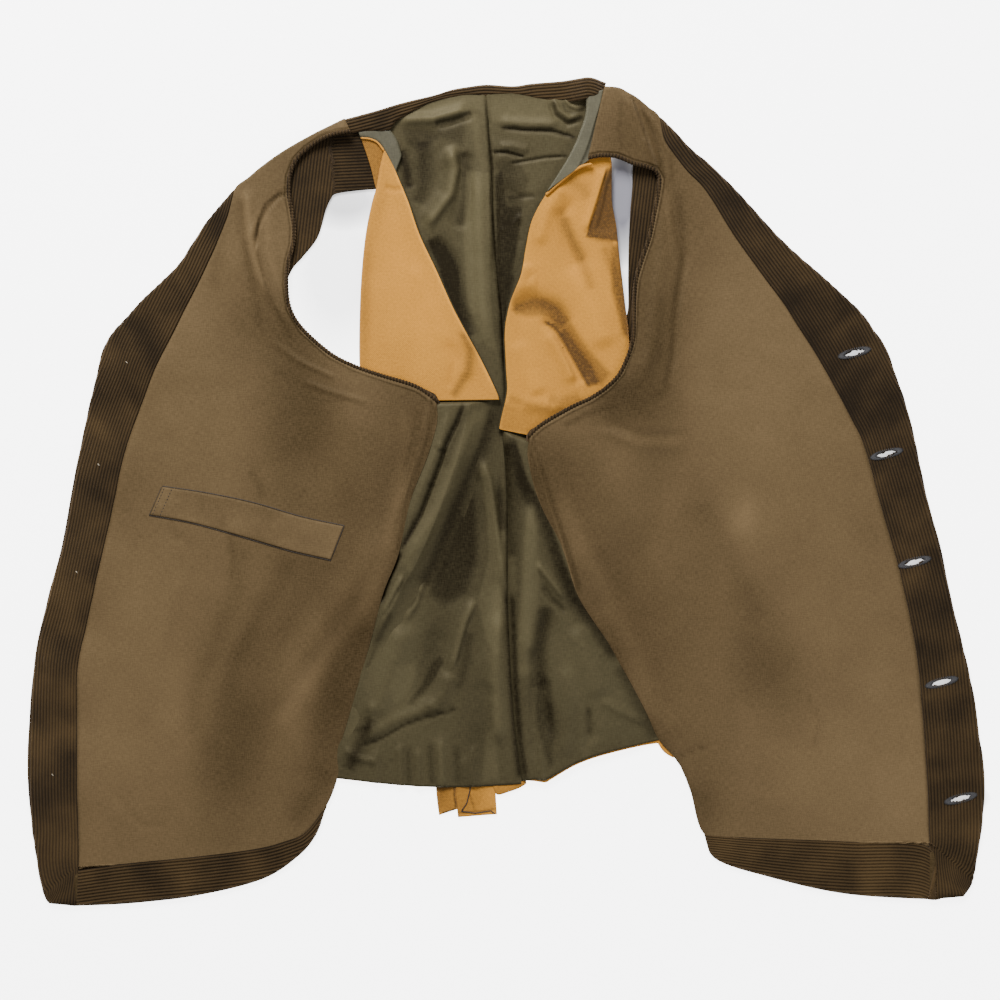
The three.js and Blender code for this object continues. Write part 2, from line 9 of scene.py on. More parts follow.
import bmesh
import bpy
import numpy as np
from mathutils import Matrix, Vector


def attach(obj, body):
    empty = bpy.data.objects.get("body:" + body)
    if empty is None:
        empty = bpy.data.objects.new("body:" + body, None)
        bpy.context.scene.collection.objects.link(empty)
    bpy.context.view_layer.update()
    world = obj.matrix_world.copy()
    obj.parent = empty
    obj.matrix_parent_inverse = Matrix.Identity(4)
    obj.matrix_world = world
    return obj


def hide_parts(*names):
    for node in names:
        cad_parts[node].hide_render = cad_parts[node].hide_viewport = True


bl_info = {
    "name": "Work waistcoat",
    "version": (1, 0, 0),
    "blender": (4, 5, 0),
    "location": "View3D > Sidebar > Waistcoat",
    "description": "Builds the cloth, trim and stage of an opened-out work waistcoat",
    "category": "Add Mesh",
}

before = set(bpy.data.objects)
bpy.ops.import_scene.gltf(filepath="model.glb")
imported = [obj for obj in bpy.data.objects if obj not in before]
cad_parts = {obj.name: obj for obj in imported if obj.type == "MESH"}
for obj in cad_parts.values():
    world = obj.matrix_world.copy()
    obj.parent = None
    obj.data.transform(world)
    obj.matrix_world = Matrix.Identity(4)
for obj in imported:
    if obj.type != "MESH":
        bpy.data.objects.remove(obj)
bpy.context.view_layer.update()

# The chart: its width in squares, the garment's width in metres, and the chart's middle.
CHART_WIDTH = 956
GARMENT_WIDTH = 0.745
SQUARE = GARMENT_WIDTH / CHART_WIDTH
MIDDLE_X = 506.35
MIDDLE_Y = 492.4
MM = 0.001
SQUARE_MM = SQUARE / MM

# Layer heights in millimetres, as in the model.
CORDUROY = 1.3
TWILL = 1.2
LINING = 1.0
SEAM_GAP = 0.3
MAIN_TOP = TWILL + SEAM_GAP + LINING
FLAP_LOW = MAIN_TOP + 1.4
FLAP_TOP = FLAP_LOW + MAIN_TOP
OVER_FLAP = FLAP_TOP + 1.4
OVER_STRAP = CORDUROY + 1.4
FRONT_LINING_TOP = CORDUROY + SEAM_GAP + LINING
FACING_TOP = CORDUROY + SEAM_GAP + CORDUROY
SLOPE_START = 10
SLOPE_LENGTH = 52
TROUGH_DEPTH = 0.95
TONE_LIMIT = 0.85
TONE_LINE_ENDS = 16
NOISE_LATTICE = 64

# Right front. Columns: front edge x, y, inner edge of the facing x, y, top of the hem
# facing x, y, and side x, y. The side is the armhole, then the side seam, then the hem.
# A row without a hem facing leaves its point out, and one without any facing both.
RIGHT_FRONT = [
    (345, 120, 352, 134),
    (328, 128, 337, 136),
    (315, 134, 323, 141),
    (300, 142, 309, 150),
    (280, 154, 298, 161),
    (262, 167, 291.5, 177),
    (249, 178, 290.5, 195),
    (235, 190, 293.5, 212),
    (221, 206, 228, 217, 296, 230),
    (207, 223, 219, 240, 295, 245),
    (193, 244, 210, 260, 290, 264),
    (179, 265, 198, 285, 288.6, 286),
    (161, 283, 186, 308, 292, 309),
    (143, 300, 174, 332, 304, 329),
    (126, 319, 161, 358, 332, 354),
    (112, 335, 152, 378, 357, 367),
    (103, 353, 144, 400, 383, 376),
    (97, 378, 136, 420, 418, 387),
    (90, 405, 129, 441, 440, 402),
    (84, 435, 122, 467, 430, 450),
    (76, 475, 115, 500, 411, 500),
    (69, 512, 106, 540, 399, 554),
    (61, 555, 96, 585, 384, 592),
    (50, 593, 87, 625, 372, 637),
    (39, 640, 79, 664, 361, 675),
    (33, 685, 77.5, 705, 350, 713),
    (30, 725, 77.5, 740, 339.5, 750),
    (28.7, 757, 78, 768, 338, 776),
    (29.5, 785, 78, 796, 327, 805),
    (31, 810, 78.5, 820, 306, 832, 316, 835),
    (33, 830, 79, 840, 287, 841, 297, 857),
    (36, 850, 79, 853, 255, 849, 262, 879),
    (39, 870, 79, 861, 191, 857, 198, 895),
    (42, 885, 79, 866, 128, 863, 130, 903),
    (46, 897, 79, 870, 79, 870, 77, 905.5),
    (50, 903, 77, 905.5, 77, 905.5),
]

# Left front, in the same columns.
LEFT_FRONT = [
    (604, 88, 587, 161),
    (618, 89, 600, 158.5),
    (628, 94, 616, 159.5),
    (637, 99, 632, 166),
    (648, 108, 645, 169),
    (659, 117.5, 654, 172.5),
    (672, 130, 664, 140, 658.5, 180),
    (691, 150, 675, 157, 657.5, 190),
    (707, 163, 687, 172, 655, 203),
    (722, 177, 702, 187, 651, 222),
    (738, 193, 714, 204, 647, 240),
    (757, 214, 730, 230, 640, 260),
    (777, 236, 746, 253, 634, 280),
    (798, 256, 764, 278, 632, 300),
    (819, 274, 782, 302, 631.5, 320),
    (840, 293, 798, 327, 630, 344),
    (860, 312, 814, 352, 619, 372),
    (874, 331, 828, 376, 607, 386),
    (886, 349, 840, 398, 590, 398),
    (895, 375, 852, 421, 569, 408),
    (904, 400, 862, 441, 541, 424),
    (913, 434, 871, 470, 526, 437),
    (922, 478, 880, 504, 531, 475),
    (930, 512, 889, 535, 541, 506),
    (940, 548, 899, 570, 562, 548),
    (949, 590, 907, 605, 577, 594),
    (957, 625, 914, 640, 600, 631),
    (966, 662, 919, 677, 623, 669),
    (974, 700, 922, 712, 645, 710),
    (979, 738, 924.5, 742, 659, 740),
    (982, 757, 925.5, 762, 678, 762),
    (984, 780, 927, 785, 690, 790),
    (983, 808, 928, 812, 704, 834),
    (980, 835, 928.5, 828, 740, 837, 716, 859),
    (977, 855, 929, 838, 790, 839, 770, 877),
    (974, 872, 929, 843, 850, 841.5, 845, 893.5),
    (971, 884, 929, 847, 929, 847, 929, 899),
    (963, 896, 929, 899, 929, 899),
]


def filled(rows):
    """The rows of a front with the points that they leave out, each taken from its neighbour."""
    full = []
    for row in rows:
        edge, side = row[:2], row[-2:]
        facing = row[2:4] if len(row) > 4 else edge
        hem = row[4:6] if len(row) > 6 else side
        full.append(edge + facing + hem + side)
    return full


# For each front: the last row of the armhole, the first row with a visible facing, and the
# first row with a hem facing.
FRONTS = {
    "right": {"table": filled(RIGHT_FRONT), "armhole_end": 18, "facing_from": 7, "hem_from": 28},
    "left": {"table": filled(LEFT_FRONT), "armhole_end": 21, "facing_from": 5, "hem_from": 32},
}

# Main backs. Columns: centre seam x, y, outer fold or side seam x, y, and the row's sag.
RIGHT_BACK = [
    (485, 92, 430, 98, 0),
    (486, 108, 411, 112, 0),
    (487, 122, 396, 122, 0),
    (488, 136, 388, 131, 0),
    (489, 150, 384, 149, 0),
    (490, 167, 382, 165, 0),
    (492, 187, 380, 187, 0),
    (492, 208, 376, 208, 0),
    (493, 238, 370, 238, 0),
    (496, 275, 366.5, 275, 0),
    (501, 315, 364.5, 315, 0),
    (503, 360, 364, 360, 0),
    (505, 399, 366, 399, 0),
    (507, 450, 382, 450, 0),
    (507, 500, 396, 500, 0),
    (506, 554, 399, 554, 0),
    (507, 592, 391, 592, 0),
    (511, 637, 372, 637, 0),
    (513, 675, 361, 675, 1),
    (515, 713, 350, 713, 3),
    (519, 750, 340, 750, 5),
    (524.5, 783.5, 339.5, 778, 6),
]
LEFT_BACK = [
    (485, 92, 585, 95, 0),
    (487, 112, 600, 112, 0),
    (488, 131, 602, 131, 0),
    (489, 149, 605, 149, 0),
    (490, 165, 608, 165, 0),
    (491.5, 182, 608, 182, 0),
    (492, 200, 607.6, 200, 0),
    (492.5, 224, 612.5, 224, 0),
    (494, 250, 615, 250, 0),
    (496.5, 275, 618, 275, 0),
    (500, 305, 622, 305, 0),
    (502, 335, 625.5, 335, 0),
    (503.5, 370, 626, 370, 0),
    (505, 400, 623, 400, 0),
    (506.5, 430, 616, 430, 0),
    (507, 470, 599, 470, 0),
    (507, 505, 584, 505, 0),
    (506.5, 550, 562, 550, 0),
    (508, 596, 541, 596, 0),
]

# Flaps, twill side up. Columns: outer fold x, y and free edge x, y.
RIGHT_FLAP = [
    (363, 138, 384, 149.5),
    (369, 160, 391, 161),
    (380, 187, 402, 187),
    (376, 208, 411, 208),
    (370, 238, 421, 238),
    (366.5, 275, 439, 275),
    (364.5, 315, 457, 315),
    (364, 360, 482, 360),
    (366, 399, 498, 399),
    (382, 450, 480, 450),
    (396, 500, 459, 500),
    (399, 554, 431, 554),
    (391, 592, 412, 592),
]
# The part of each flap that shows, in the same columns.
FLAPS_SEEN = {
    "right": [
        (384, 151.5, 385.5, 152),
        (380, 168, 394, 168),
        (376.5, 188, 402, 187),
        (372, 204, 409, 204),
        (366, 234, 420, 236),
        (362, 272, 437, 272),
        (360, 312, 455, 312),
        (359.5, 360, 480, 358),
        (362, 392, 496, 391),
        (365, 402, 499, 400),
    ],
    "left": [
        (609, 150, 583, 158),
        (611.5, 164, 572, 170),
        (611.5, 186, 553, 187),
        (612, 204, 541, 203),
        (616, 226, 531, 224),
        (618.5, 250, 525.5, 250),
        (621.5, 275, 521, 275),
        (625, 305, 511, 301),
        (628.5, 335, 505, 330),
        (629, 370, 506, 368),
        (625, 395, 507, 392),
        (612, 420, 502, 415),
        (590, 442, 499.5, 427.5),
        (580, 446, 500, 429.5),
    ],
}
LEFT_FLAP = [
    (600, 112, 586, 112),
    (602, 131, 579, 131),
    (605, 149, 572, 149),
    (608, 165, 565, 165),
    (608, 182, 554, 182),
    (607.6, 200, 543, 200),
    (612.5, 224, 533, 224),
    (615, 250, 525, 250),
    (618, 275, 521, 275),
    (622, 305, 514, 305),
    (625.5, 335, 508, 335),
    (626, 370, 508, 370),
    (623, 400, 506, 400),
    (616, 430, 500, 427),
    (599, 470, 505, 470),
    (584, 505, 509, 505),
    (562, 550, 511, 550),
]

# Side strips over the flaps, lining up. Columns: fold x, y, side seam x, y, and the height
# of the strip's crest at the fold in millimetres.
RIGHT_SIDE = [
    (499, 392, 441, 394, 9.6),
    (501, 400.5, 440, 401.5, 9.6),
    (500, 407, 439, 408, 9.6),
    (490, 450, 430, 450, 9.6),
    (473, 500, 411, 500, 9.2),
    (451, 554, 399, 554, 8.4),
    (430, 592, 384, 592, 7.4),
    (408, 637, 372, 637, 6.2),
    (388, 690, 356.5, 690, 4.8),
    (366, 745, 341, 745, 3.4),
]
LEFT_SIDE = [
    (499, 421, 527, 430, 9.4),
    (501, 428.5, 526, 437.5, 9.4),
    (502, 435, 526, 444, 9.4),
    (505, 470, 531, 475, 9.2),
    (507, 505, 541, 506, 9.0),
    (507, 550, 562, 548, 8.6),
    (507, 596, 577, 594, 8.0),
    (508.5, 640, 600, 631, 7.0),
    (510.5, 682, 623, 669, 6.0),
    (514, 728, 645, 710, 5.0),
    (521.5, 781, 659, 740, 4.0),
]
LEFT_SHOULDER = [
    (586, 96, 609, 90),
    (585, 113, 605, 104),
    (581, 128, 600, 120),
    (573, 148, 596, 137),
    (562, 168, 592, 152),
    (546, 193, 589, 161),
]

# Neck halves of the shoulder straps, turned under with the corduroy up.
# Columns: fold x, y and neck edge x, y.
RIGHT_STRAP = [
    (229, 197, 288, 278),
    (238, 188, 294, 267),
    (249, 178, 303, 257),
    (262, 167, 318, 237),
    (280, 154, 326, 210),
    (300, 142, 331, 199),
    (315, 134, 336, 194),
    (345, 120, 355, 191),
    (366, 117, 379, 189),
]
LEFT_STRAP = [
    (628, 94, 633, 172),
    (637, 99, 632, 190),
    (648, 108, 630, 215),
    (659, 117.5, 628.5, 250),
    (668, 160, 628, 280),
    (662, 240, 629, 308),
    (655, 250, 629.5, 322),
]
LEFT_STRAP_SEEN = [
    (650, 150, 634, 150),
    (664, 175, 632.5, 172),
    (664, 190, 632, 190),
    (662, 215, 630, 215),
    (654, 250, 628.5, 250),
    (642, 280, 628, 280),
    (638, 308, 628, 308),
    (637, 322, 625, 322),
    (636, 352, 621, 352),
]

# Neck band. Columns: outer edge x, y and the edge sewn to the back x, y.
NECK_BAND = [
    (345, 120, 352.5, 134),
    (362, 115.5, 365, 132),
    (380, 110.5, 388, 131),
    (396, 105.5, 396, 122.5),
    (414, 100.5, 411, 113),
    (436, 95, 430, 103.5),
    (452, 90, 448, 99),
    (469, 87, 467, 96),
    (487, 85, 485, 97),
    (513, 86.5, 510, 95),
    (532, 84, 535, 99),
    (558, 82, 560, 102),
    (576, 80, 578, 102),
    (590, 79, 590, 99),
    (606, 84, 602, 97),
]
# The folded corner by the right armhole. Columns: the two edges of each piece.
CORNER_TWILL = [
    (361, 137.5, 369, 138.5),
    (362, 141, 377, 143),
    (364, 147, 385.5, 153),
    (367.5, 157, 384, 164),
    (371.5, 170, 381, 176),
    (376, 189, 378, 190),
]
CORNER_SATIN = [
    (358, 130.5, 360.5, 138.5),
    (370, 128.5, 371, 140.5),
    (380, 127.5, 380, 145),
    (389, 130, 384.5, 152.5),
    (397, 140, 389, 162),
    (402, 156, 394.5, 176),
]
# Routes of narrow rims: chart x, chart y and height in millimetres.
CORNER_RIM = [(361, 138.8, 4.3), (370, 139.8, 4.6), (378, 143.6, 4.8), (384.5, 152, 5.2)]
SHOULDER_RIM = [
    (592, 165.5, 9.6), (583, 167.5, 9.6), (574, 172, 9.4), (564, 180, 9.2), (553, 189.5, 8.8),
    (545.5, 196.5, 8.2),
]
# Twill past the lining at the hem. Columns: upper edge x, y and lower edge x, y.
HEM_LIP = [
    (523, 775, 524, 780.3),
    (534, 776, 534.5, 781),
    (543, 776.5, 545, 782.4),
    (548, 774, 550, 780),
    (558, 768, 560, 773.8),
    (572, 760, 574, 765.8),
    (590, 753, 591, 758.8),
    (612, 746.5, 613, 752.4),
    (640, 740, 641, 745.8),
    (660, 735.5, 661.5, 742.5),
]
# How far the left hem hangs below the line between its ends: share from the seam, squares.
HEM_DROP = [
    (0, 0), (0.13, -1.4), (0.335, -3.1), (0.495, -3.3), (0.62, -1.4), (0.72, 2.5), (0.793, 5.3),
    (0.83, 6.3), (0.91, 2), (1, 0),
]
HEM_TAB = [
    (656, 738, 658, 744),
    (662, 741, 664, 752),
    (669, 746, 672, 757),
    (674, 751, 676, 757),
]
HEM_UNDER = [
    (492, 780, 493, 787),
    (497, 781, 497.5, 794.5),
    (509, 781, 509.5, 791.5),
    (518, 780, 519, 788),
    (525, 779, 526, 784),
]
# Each piece of twill at the hem and its tone; the underside's darker tone is painted shade.
HEM_PIECES = [(HEM_LIP, 0.1), (HEM_TAB, 0.0), (HEM_UNDER, -0.2)]
POCKET_WELT = [
    (162.5, 486.5, 150, 515),
    (206, 493, 193, 523),
    (254, 503, 242, 536.5),
    (302, 517, 290, 550.5),
    (344.5, 526, 331, 560),
]
# The two ends of the waist strap below the hem, and how much lower each lies, in millimetres.
STRAP_ENDS = [
    [(435.5, 782, 457.5, 782), (437, 800, 458.5, 799), (439, 815, 458.5, 808.5)],
    [(454.5, 781, 495, 779), (456, 800, 496, 798), (458, 817, 497, 814)],
]
STRAP_END_DROPS = [0.5, 0.0]
# Middles of the buttons and buttonholes; tilt in radians, sizes in squares.
BUTTONS = [(128, 363), (100, 465), (78, 572), (59, 672), (54, 774)]
BUTTONHOLES = [(854, 353), (886, 454), (914, 562), (941, 682), (960, 798)]
BUTTONHOLE_TILT = 0.25
BUTTONHOLE_LENGTH = 21
BUTTONHOLE_WIDTH = 4.8
# The stitches round a buttonhole: how many, the half length and half width of their inner
# and outer ends in squares, and the thread's radius in millimetres.
HOLE_STITCHES = 46
HOLE_STITCH_IN = (10.0, 2.1)
HOLE_STITCH_OUT = (17.5, 5.2)
HOLE_STITCH_RADIUS = 0.34
# The rise over a button and how far out it fades, in millimetres.
BUTTON_BUMP_HEIGHT = 4.0
BUTTON_BUMP_REACH = 46
# The welt's stitches: shares down the welt of the two rows, stitches in a row, where the
# first starts across it, from one to the next, and a stitch's length.
WELT_STITCH_ROWS = (0.016, 0.06)
WELT_STITCHES = 9
WELT_STITCH_START = 0.05
WELT_STITCH_STEP = 0.105
WELT_STITCH_LENGTH = 0.065
STITCH_RADIUS = 0.3
# The dark cord round the welt, a painted shadow at its edges: how far outside its sides, and
# points down a side and an end.
WELT_EDGE_GAP = 0.012
WELT_SIDE_POINTS = 30
WELT_END_POINTS = 9
WELT_LENGTH = 185
# Routes: chart x, chart y and height in millimetres.
STRAP_STITCHING = [
    (471, 783, 1.9), (469.6, 792, 1.9), (466.8, 803, 1.9), (461.4, 811, 1.9), (475, 813, 1.9),
    (491, 810.5, 1.9), (495, 814, 1.9),
]
# The line where the right strap's corduroy turns: x at a y, and squares across for one down.
TURN_X = 331
TURN_Y = 150
TURN_SLOPE = 0.08
# Squares of corduroy that show past the lining at an armhole.
ARMHOLE_RIM = 3.6
# Squares from one tooth of a ribbed cord to the next.
CORD_TOOTH_PITCH = 3.2

# Cells across a sheet and for each row of its table.
FACING_CELLS = {"right": (96, 6), "left": (96, 8)}
FLAP_CELLS = {"right": (60, 10), "left": (84, 14)}
# Squares over which the top of each side strip falls away to its fold.
SIDE_FALL = {"right": 30.0, "left": 13.0}

# Creases. Columns: height in millimetres (negative for a trough), width in squares, lean if
# it has any (positive is gentler to the right of its direction), and the points it follows.
BACK_CREASES = [
    (3.0, 6, [(398, 121), (434, 119), (470, 109)]),
    (-2.4, 4, [(434, 126), (452, 122), (474, 115)]),
    (-3.0, 5, [(401, 150), (406, 168), (409, 190)]),
    (4.2, 7, 0.3, [(449, 144), (456, 170), (450, 195), (433, 218), (422, 230)]),
    (-2.6, 8, [(464, 150), (466, 195), (456, 232)]),
    (-2.4, 9, [(430, 236), (448, 262), (459, 306), (470, 340)]),
    (2.8, 10, -0.3, [(478, 165), (480, 215), (482, 262), (484, 312), (492, 350)]),
    (-2.0, 2.0, [(489, 100), (490, 150), (493, 200), (493, 285)]),
    (-2.4, 10, [(508, 176), (509, 230), (508, 300), (510, 350)]),
    (-2.2, 1.8, 0.5, [(499, 127.5), (530, 130), (552, 130.5), (577, 138)]),
    (1.8, 5, [(498, 122), (530, 125), (560, 125)]),
    (-1.9, 1.6, 0.5, [(492, 152), (507, 152.5), (525, 157.5)]),
    (1.5, 4, [(498, 147), (512, 147), (530, 151)]),
    (-1.5, 1.5, [(510, 164), (545, 158), (569, 156.5)]),
    (-1.2, 2.2, [(508, 198), (520, 197), (536, 196)]),
    (2.0, 2.6, [(553, 98), (559, 111), (570, 119), (584, 113)]),
    (1.6, 2.0, [(564, 98), (569, 106), (577, 109), (586, 105)]),
    (-1.8, 2.0, [(549, 102), (554, 116), (567, 125), (584, 121)]),
    (1.4, 3.2, [(500, 232), (512, 226), (522, 214)]),
    (-1.4, 2.6, [(498, 240), (510, 242), (524, 240)]),
    (3.6, 5.5, 0.35, [(477, 454), (489, 479), (494, 512), (499, 546), (502, 592)]),
    (-2.8, 10, [(478, 470), (474, 520), (458, 572), (440, 608)]),
    (-2.0, 3.5, [(501, 486), (503, 512), (505, 536)]),
    (3.0, 4.6, 0.3, [(476, 598), (465, 621), (458, 646), (451, 672)]),
    (2.4, 3.0, [(424, 580), (416, 604), (405, 619)]),
    (3.4, 13, [(405, 622), (392, 668), (374, 722)]),
    (-2.6, 7, [(437, 630), (431, 668), (418, 702)]),
    (2.4, 8, [(452, 672), (442, 696), (428, 712)]),
    (-2.4, 1.7, 0.5, [(362, 745), (383, 737), (402, 725), (420, 718), (458, 708)]),
    (1.8, 6, [(366, 737), (398, 719), (440, 704)]),
    (-2.6, 10, [(492, 680), (474, 722), (457, 762)]),
    (3.6, 8, [(501, 606), (496, 652), (495, 700), (500, 750)]),
    (2.0, 3.4, [(400, 742), (401, 790)]),
    (-1.6, 3.2, [(408, 745), (409, 790)]),
    (1.8, 3.4, [(418, 748), (419, 792)]),
    (2.0, 4.5, [(440, 736), (442, 792)]),
    (2.0, 5, [(471, 742), (473, 790)]),
    (-1.6, 4, [(456, 748), (458, 792)]),
    (1.6, 3.5, [(378, 748), (376, 788)]),
    (2.0, 4, [(371, 700), (374, 724), (372, 745)]),
    (1.7, 3.2, [(346, 748), (360, 758), (380, 762)]),
]
LEFT_SIDE_CREASES = [
    (3.2, 9, [(531, 500), (529, 552), (525, 612), (526, 668)]),
    (2.4, 3.2, [(536, 562), (550, 580), (564, 598)]),
    (-2.0, 2.6, [(541, 584), (552, 600), (566, 613)]),
    (-3.2, 8, [(549, 606), (540, 655), (542, 700), (552, 742)]),
    (2.6, 13, [(578, 622), (586, 660), (600, 700)]),
    (2.4, 9, [(566, 662), (569, 705), (563, 760)]),
    (1.6, 4, [(600, 700), (622, 712), (648, 724)]),
    (-1.7, 4, [(588, 708), (590, 735), (584, 760)]),
    (1.6, 3.5, [(540, 738), (542, 782)]),
    (-1.6, 5, [(534, 640), (533, 700), (536, 760)]),
]
RIGHT_SIDE_CREASES = [
    (-2.4, 2.0, 0.4, [(465, 402), (457, 424), (447, 445), (442, 461), (431, 490), (421, 516),
                      (401, 551)]),
    (-2.4, 3.0, [(401, 551), (389, 578), (380, 604)]),
    (1.4, 4, [(452, 404), (443, 436), (428, 474), (413, 512), (402, 546)]),
    (2.6, 7.5, [(484, 404), (472, 431), (461, 458), (450, 488), (436, 516), (418, 546), (404, 571)]),
    (1.2, 2.0, [(437, 446), (443, 448), (449, 447)]),
    (-1.8, 2.4, [(400, 586), (391, 604), (380, 620)]),
    (2.0, 2.6, [(404, 574), (394, 596), (382, 618)]),
]
RIGHT_FRONT_CREASES = [
    (-2.0, 1.6, 0.5, [(291, 193), (280, 197), (268, 210), (259, 230), (256, 252)]),
    (1.3, 5, [(262, 214), (250, 240), (258, 276), (282, 314), (292, 336)]),
    (1.6, 7, [(248, 186), (250, 222), (254, 262), (272, 304)]),
    (-1.0, 4, [(240, 200), (242, 240), (250, 280)]),
    (-1.4, 9, [(228, 534), (246, 556), (234, 604), (214, 650), (195, 690), (190, 742)]),
    (-1.6, 9, [(294, 552), (279, 584), (252, 632), (226, 680)]),
    (3.0, 14, [(390, 524), (360, 574), (322, 628), (294, 670), (272, 718)]),
    (-1.6, 12, [(330, 700), (320, 745), (300, 790)]),
    (1.4, 10, [(268, 600), (240, 650), (214, 704), (204, 760)]),
    (1.2, 8, [(190, 560), (160, 640), (142, 730)]),
    (1.4, 3, [(430, 408), (424, 440), (410, 480), (398, 520)]),
    (-1.0, 2.4, [(420, 405), (415, 440), (404, 478)]),
    (0.8, 3, [(300, 380), (330, 392), (372, 404)]),
    (0.8, 3, [(270, 340), (300, 362), (340, 380)]),
    (-0.9, 3.5, [(168, 520), (176, 536), (196, 543)]),
    (0.7, 2.2, [(240, 470), (262, 500)]),
    (0.6, 3, [(120, 800), (122, 850)]),
    (0.7, 3, [(95, 640), (100, 690), (92, 740)]),
    (-0.7, 3, [(110, 790), (140, 826), (170, 826)]),
    (0.9, 3, [(40, 659), (76, 669)]),
    (-0.9, 2.4, [(38, 666), (76, 676)]),
]
LEFT_FRONT_CREASES = [
    (-1.5, 4, [(670, 186), (678, 236), (685, 258), (676, 308), (673, 356), (664, 402)]),
    (1.6, 7, [(660, 200), (664, 250), (656, 300), (652, 350), (640, 385)]),
    (1.2, 3, [(643, 138), (656, 172)]),
    (1.4, 4, [(622, 92), (636, 120), (650, 156), (658, 178)]),
    (-1.0, 3, [(634, 100), (648, 128), (660, 158)]),
    (1.2, 3, [(641, 106), (660, 134), (668, 154), (670, 186)]),
    (0.9, 2.2, [(806, 692), (820, 716), (812, 748)]),
    (-1.0, 2.0, [(679, 756), (710, 744)]),
    (0.7, 1.6, [(860, 704), (888, 770)]),
    (-1.2, 10, [(560, 470), (580, 530), (610, 590), (650, 650)]),
    (1.4, 12, [(600, 450), (640, 540), (680, 620), (700, 700)]),
    (1.0, 4, [(536, 444), (545, 480), (556, 512), (570, 545)]),
    (-1.0, 9, [(690, 470), (720, 560), (740, 650), (750, 740)]),
    (1.2, 10, [(760, 420), (800, 520), (830, 620), (842, 720)]),
    (0.8, 3, [(900, 640), (914, 700)]),
    (-0.8, 3, [(898, 660), (908, 720), (904, 770)]),
    (0.8, 3, [(740, 790), (770, 802), (820, 806)]),
    (-0.8, 4, [(600, 420), (640, 436), (690, 436)]),
    (0.9, 4, [(596, 430), (640, 446), (686, 448)]),
]
RIGHT_FLAP_CREASES = [
    (1.8, 5, [(462, 336), (472, 350), (466, 380)]),
    (-1.4, 5, [(448, 340), (456, 360), (450, 392)]),
    (1.3, 12, [(392, 190), (400, 250), (402, 320), (396, 396)]),
    (-1.2, 8, [(372, 250), (370, 320), (374, 392)]),
    (1.2, 8, [(414, 262), (432, 312), (446, 352)]),
    (-0.9, 3, [(384, 188), (394, 191), (404, 190)]),
]
LEFT_FLAP_CREASES = [
    (2.6, 3.0, 0.6, [(606, 166), (597, 196), (584, 236)]),
    (-2.6, 8, -0.5, [(614, 176), (608, 206), (600, 236)]),
    (-4.2, 8, -0.5, [(540, 318), (552, 326), (563, 342), (572, 360), (584, 386)]),
    (2.6, 6, 0.4, [(548, 330), (558, 346), (566, 362), (576, 384)]),
    (-2.4, 9, [(508, 312), (530, 303), (552, 308), (568, 330)]),
    (3.0, 13, [(574, 262), (592, 310), (606, 352)]),
    (2.2, 9, [(524, 262), (522, 286), (540, 284)]),
    (2.0, 10, [(516, 340), (526, 372), (540, 398)]),
    (2.0, 7, [(566, 184), (548, 212), (538, 248)]),
    (-1.8, 6, [(576, 196), (562, 218), (566, 246), (582, 290)]),
    (1.8, 7, [(520, 402), (548, 408), (566, 402)]),
]

# Lighter and darker places painted into the cloth: painted sheen and painted shade, with some
# real fading. Columns: x, y, half width, half height, turn in degrees, and how much lighter
# (up to 1) or darker (down to -1).
FRONT_SHEEN_AND_SHADE = [
    (180, 700, 120, 150, 0, 0.35),
    (330, 640, 60, 150, 25, -0.25),
    (300, 410, 42, 110, 0, -0.8),
    (300, 335, 26, 50, 0, -0.6),
    (420, 440, 24, 50, 10, -0.35),
    (395, 610, 22, 40, 10, -0.35),
    (300, 800, 24, 40, 0, -0.3),
    (336, 700, 20, 80, 10, -0.4),
    (610, 150, 30, 40, 0, -0.3),
    (622, 395, 24, 24, -20, -0.5),
    (545, 470, 20, 50, -20, -0.5),
    (700, 802, 20, 30, 0, -0.6),
    (612, 645, 14, 30, -20, -0.4),
    (205, 650, 40, 60, 0, -0.3),
    (400, 440, 40, 110, 10, -0.5),
    (398, 600, 24, 60, 10, -0.5),
    (236, 730, 36, 100, 10, -0.85),
    (342, 700, 22, 80, 10, -0.8),
    (300, 175, 50, 36, -30, -0.5),
    (250, 310, 30, 60, 0, -0.35),
    (140, 480, 25, 50, 0, -0.22),
    (300, 600, 24, 60, 20, -0.25),
    (654, 330, 30, 100, 0, -0.75),
    (650, 152, 45, 60, -20, -0.55),
    (700, 240, 50, 60, -30, -0.2),
    (620, 402, 34, 22, -20, -0.8),
    (612, 650, 18, 40, -20, -0.4),
    (562, 470, 24, 45, -20, -0.25),
    (702, 540, 24, 90, 0, -0.22),
    (766, 660, 34, 60, -20, -0.6),
    (662, 720, 16, 30, 0, -0.35),
    (890, 800, 70, 70, 0, 0.45),
    (300, 420, 120, 70, 10, 0.05),
    (240, 260, 60, 70, -30, 0.1),
    (250, 560, 120, 70, 10, -0.15),
    (760, 360, 120, 160, -20, 0.25),
    (610, 560, 60, 150, -30, -0.35),
    (640, 720, 70, 110, -25, -0.15),
    (850, 720, 110, 140, 0, 0.3),
    (650, 300, 40, 120, 0, -0.15),
    (745, 516, 12, 20, 10, 0.6),
]
BACK_SHEEN_AND_SHADE = [
    (520, 112, 70, 16, 0, 0.3),
    (440, 108, 40, 10, -15, 0.25),
    (418, 160, 20, 26, 20, -0.15),
    (540, 178, 26, 16, 0, 0.1),
    (508, 240, 15, 90, 0, -0.42),
    (470, 522, 22, 62, 12, -0.42),
    (388, 640, 20, 44, 20, 0.28),
    (430, 655, 11, 40, 12, -0.3),
    (396, 700, 30, 40, 15, 0.3),
    (452, 730, 18, 30, 15, 0.1),
    (478, 735, 16, 40, 8, -0.25),
    (572, 660, 30, 40, -30, 0.28),
    (610, 715, 30, 24, -25, 0.15),
    (560, 745, 26, 20, 0, 0.12),
    (420, 450, 9, 70, 20, 0.15),
]
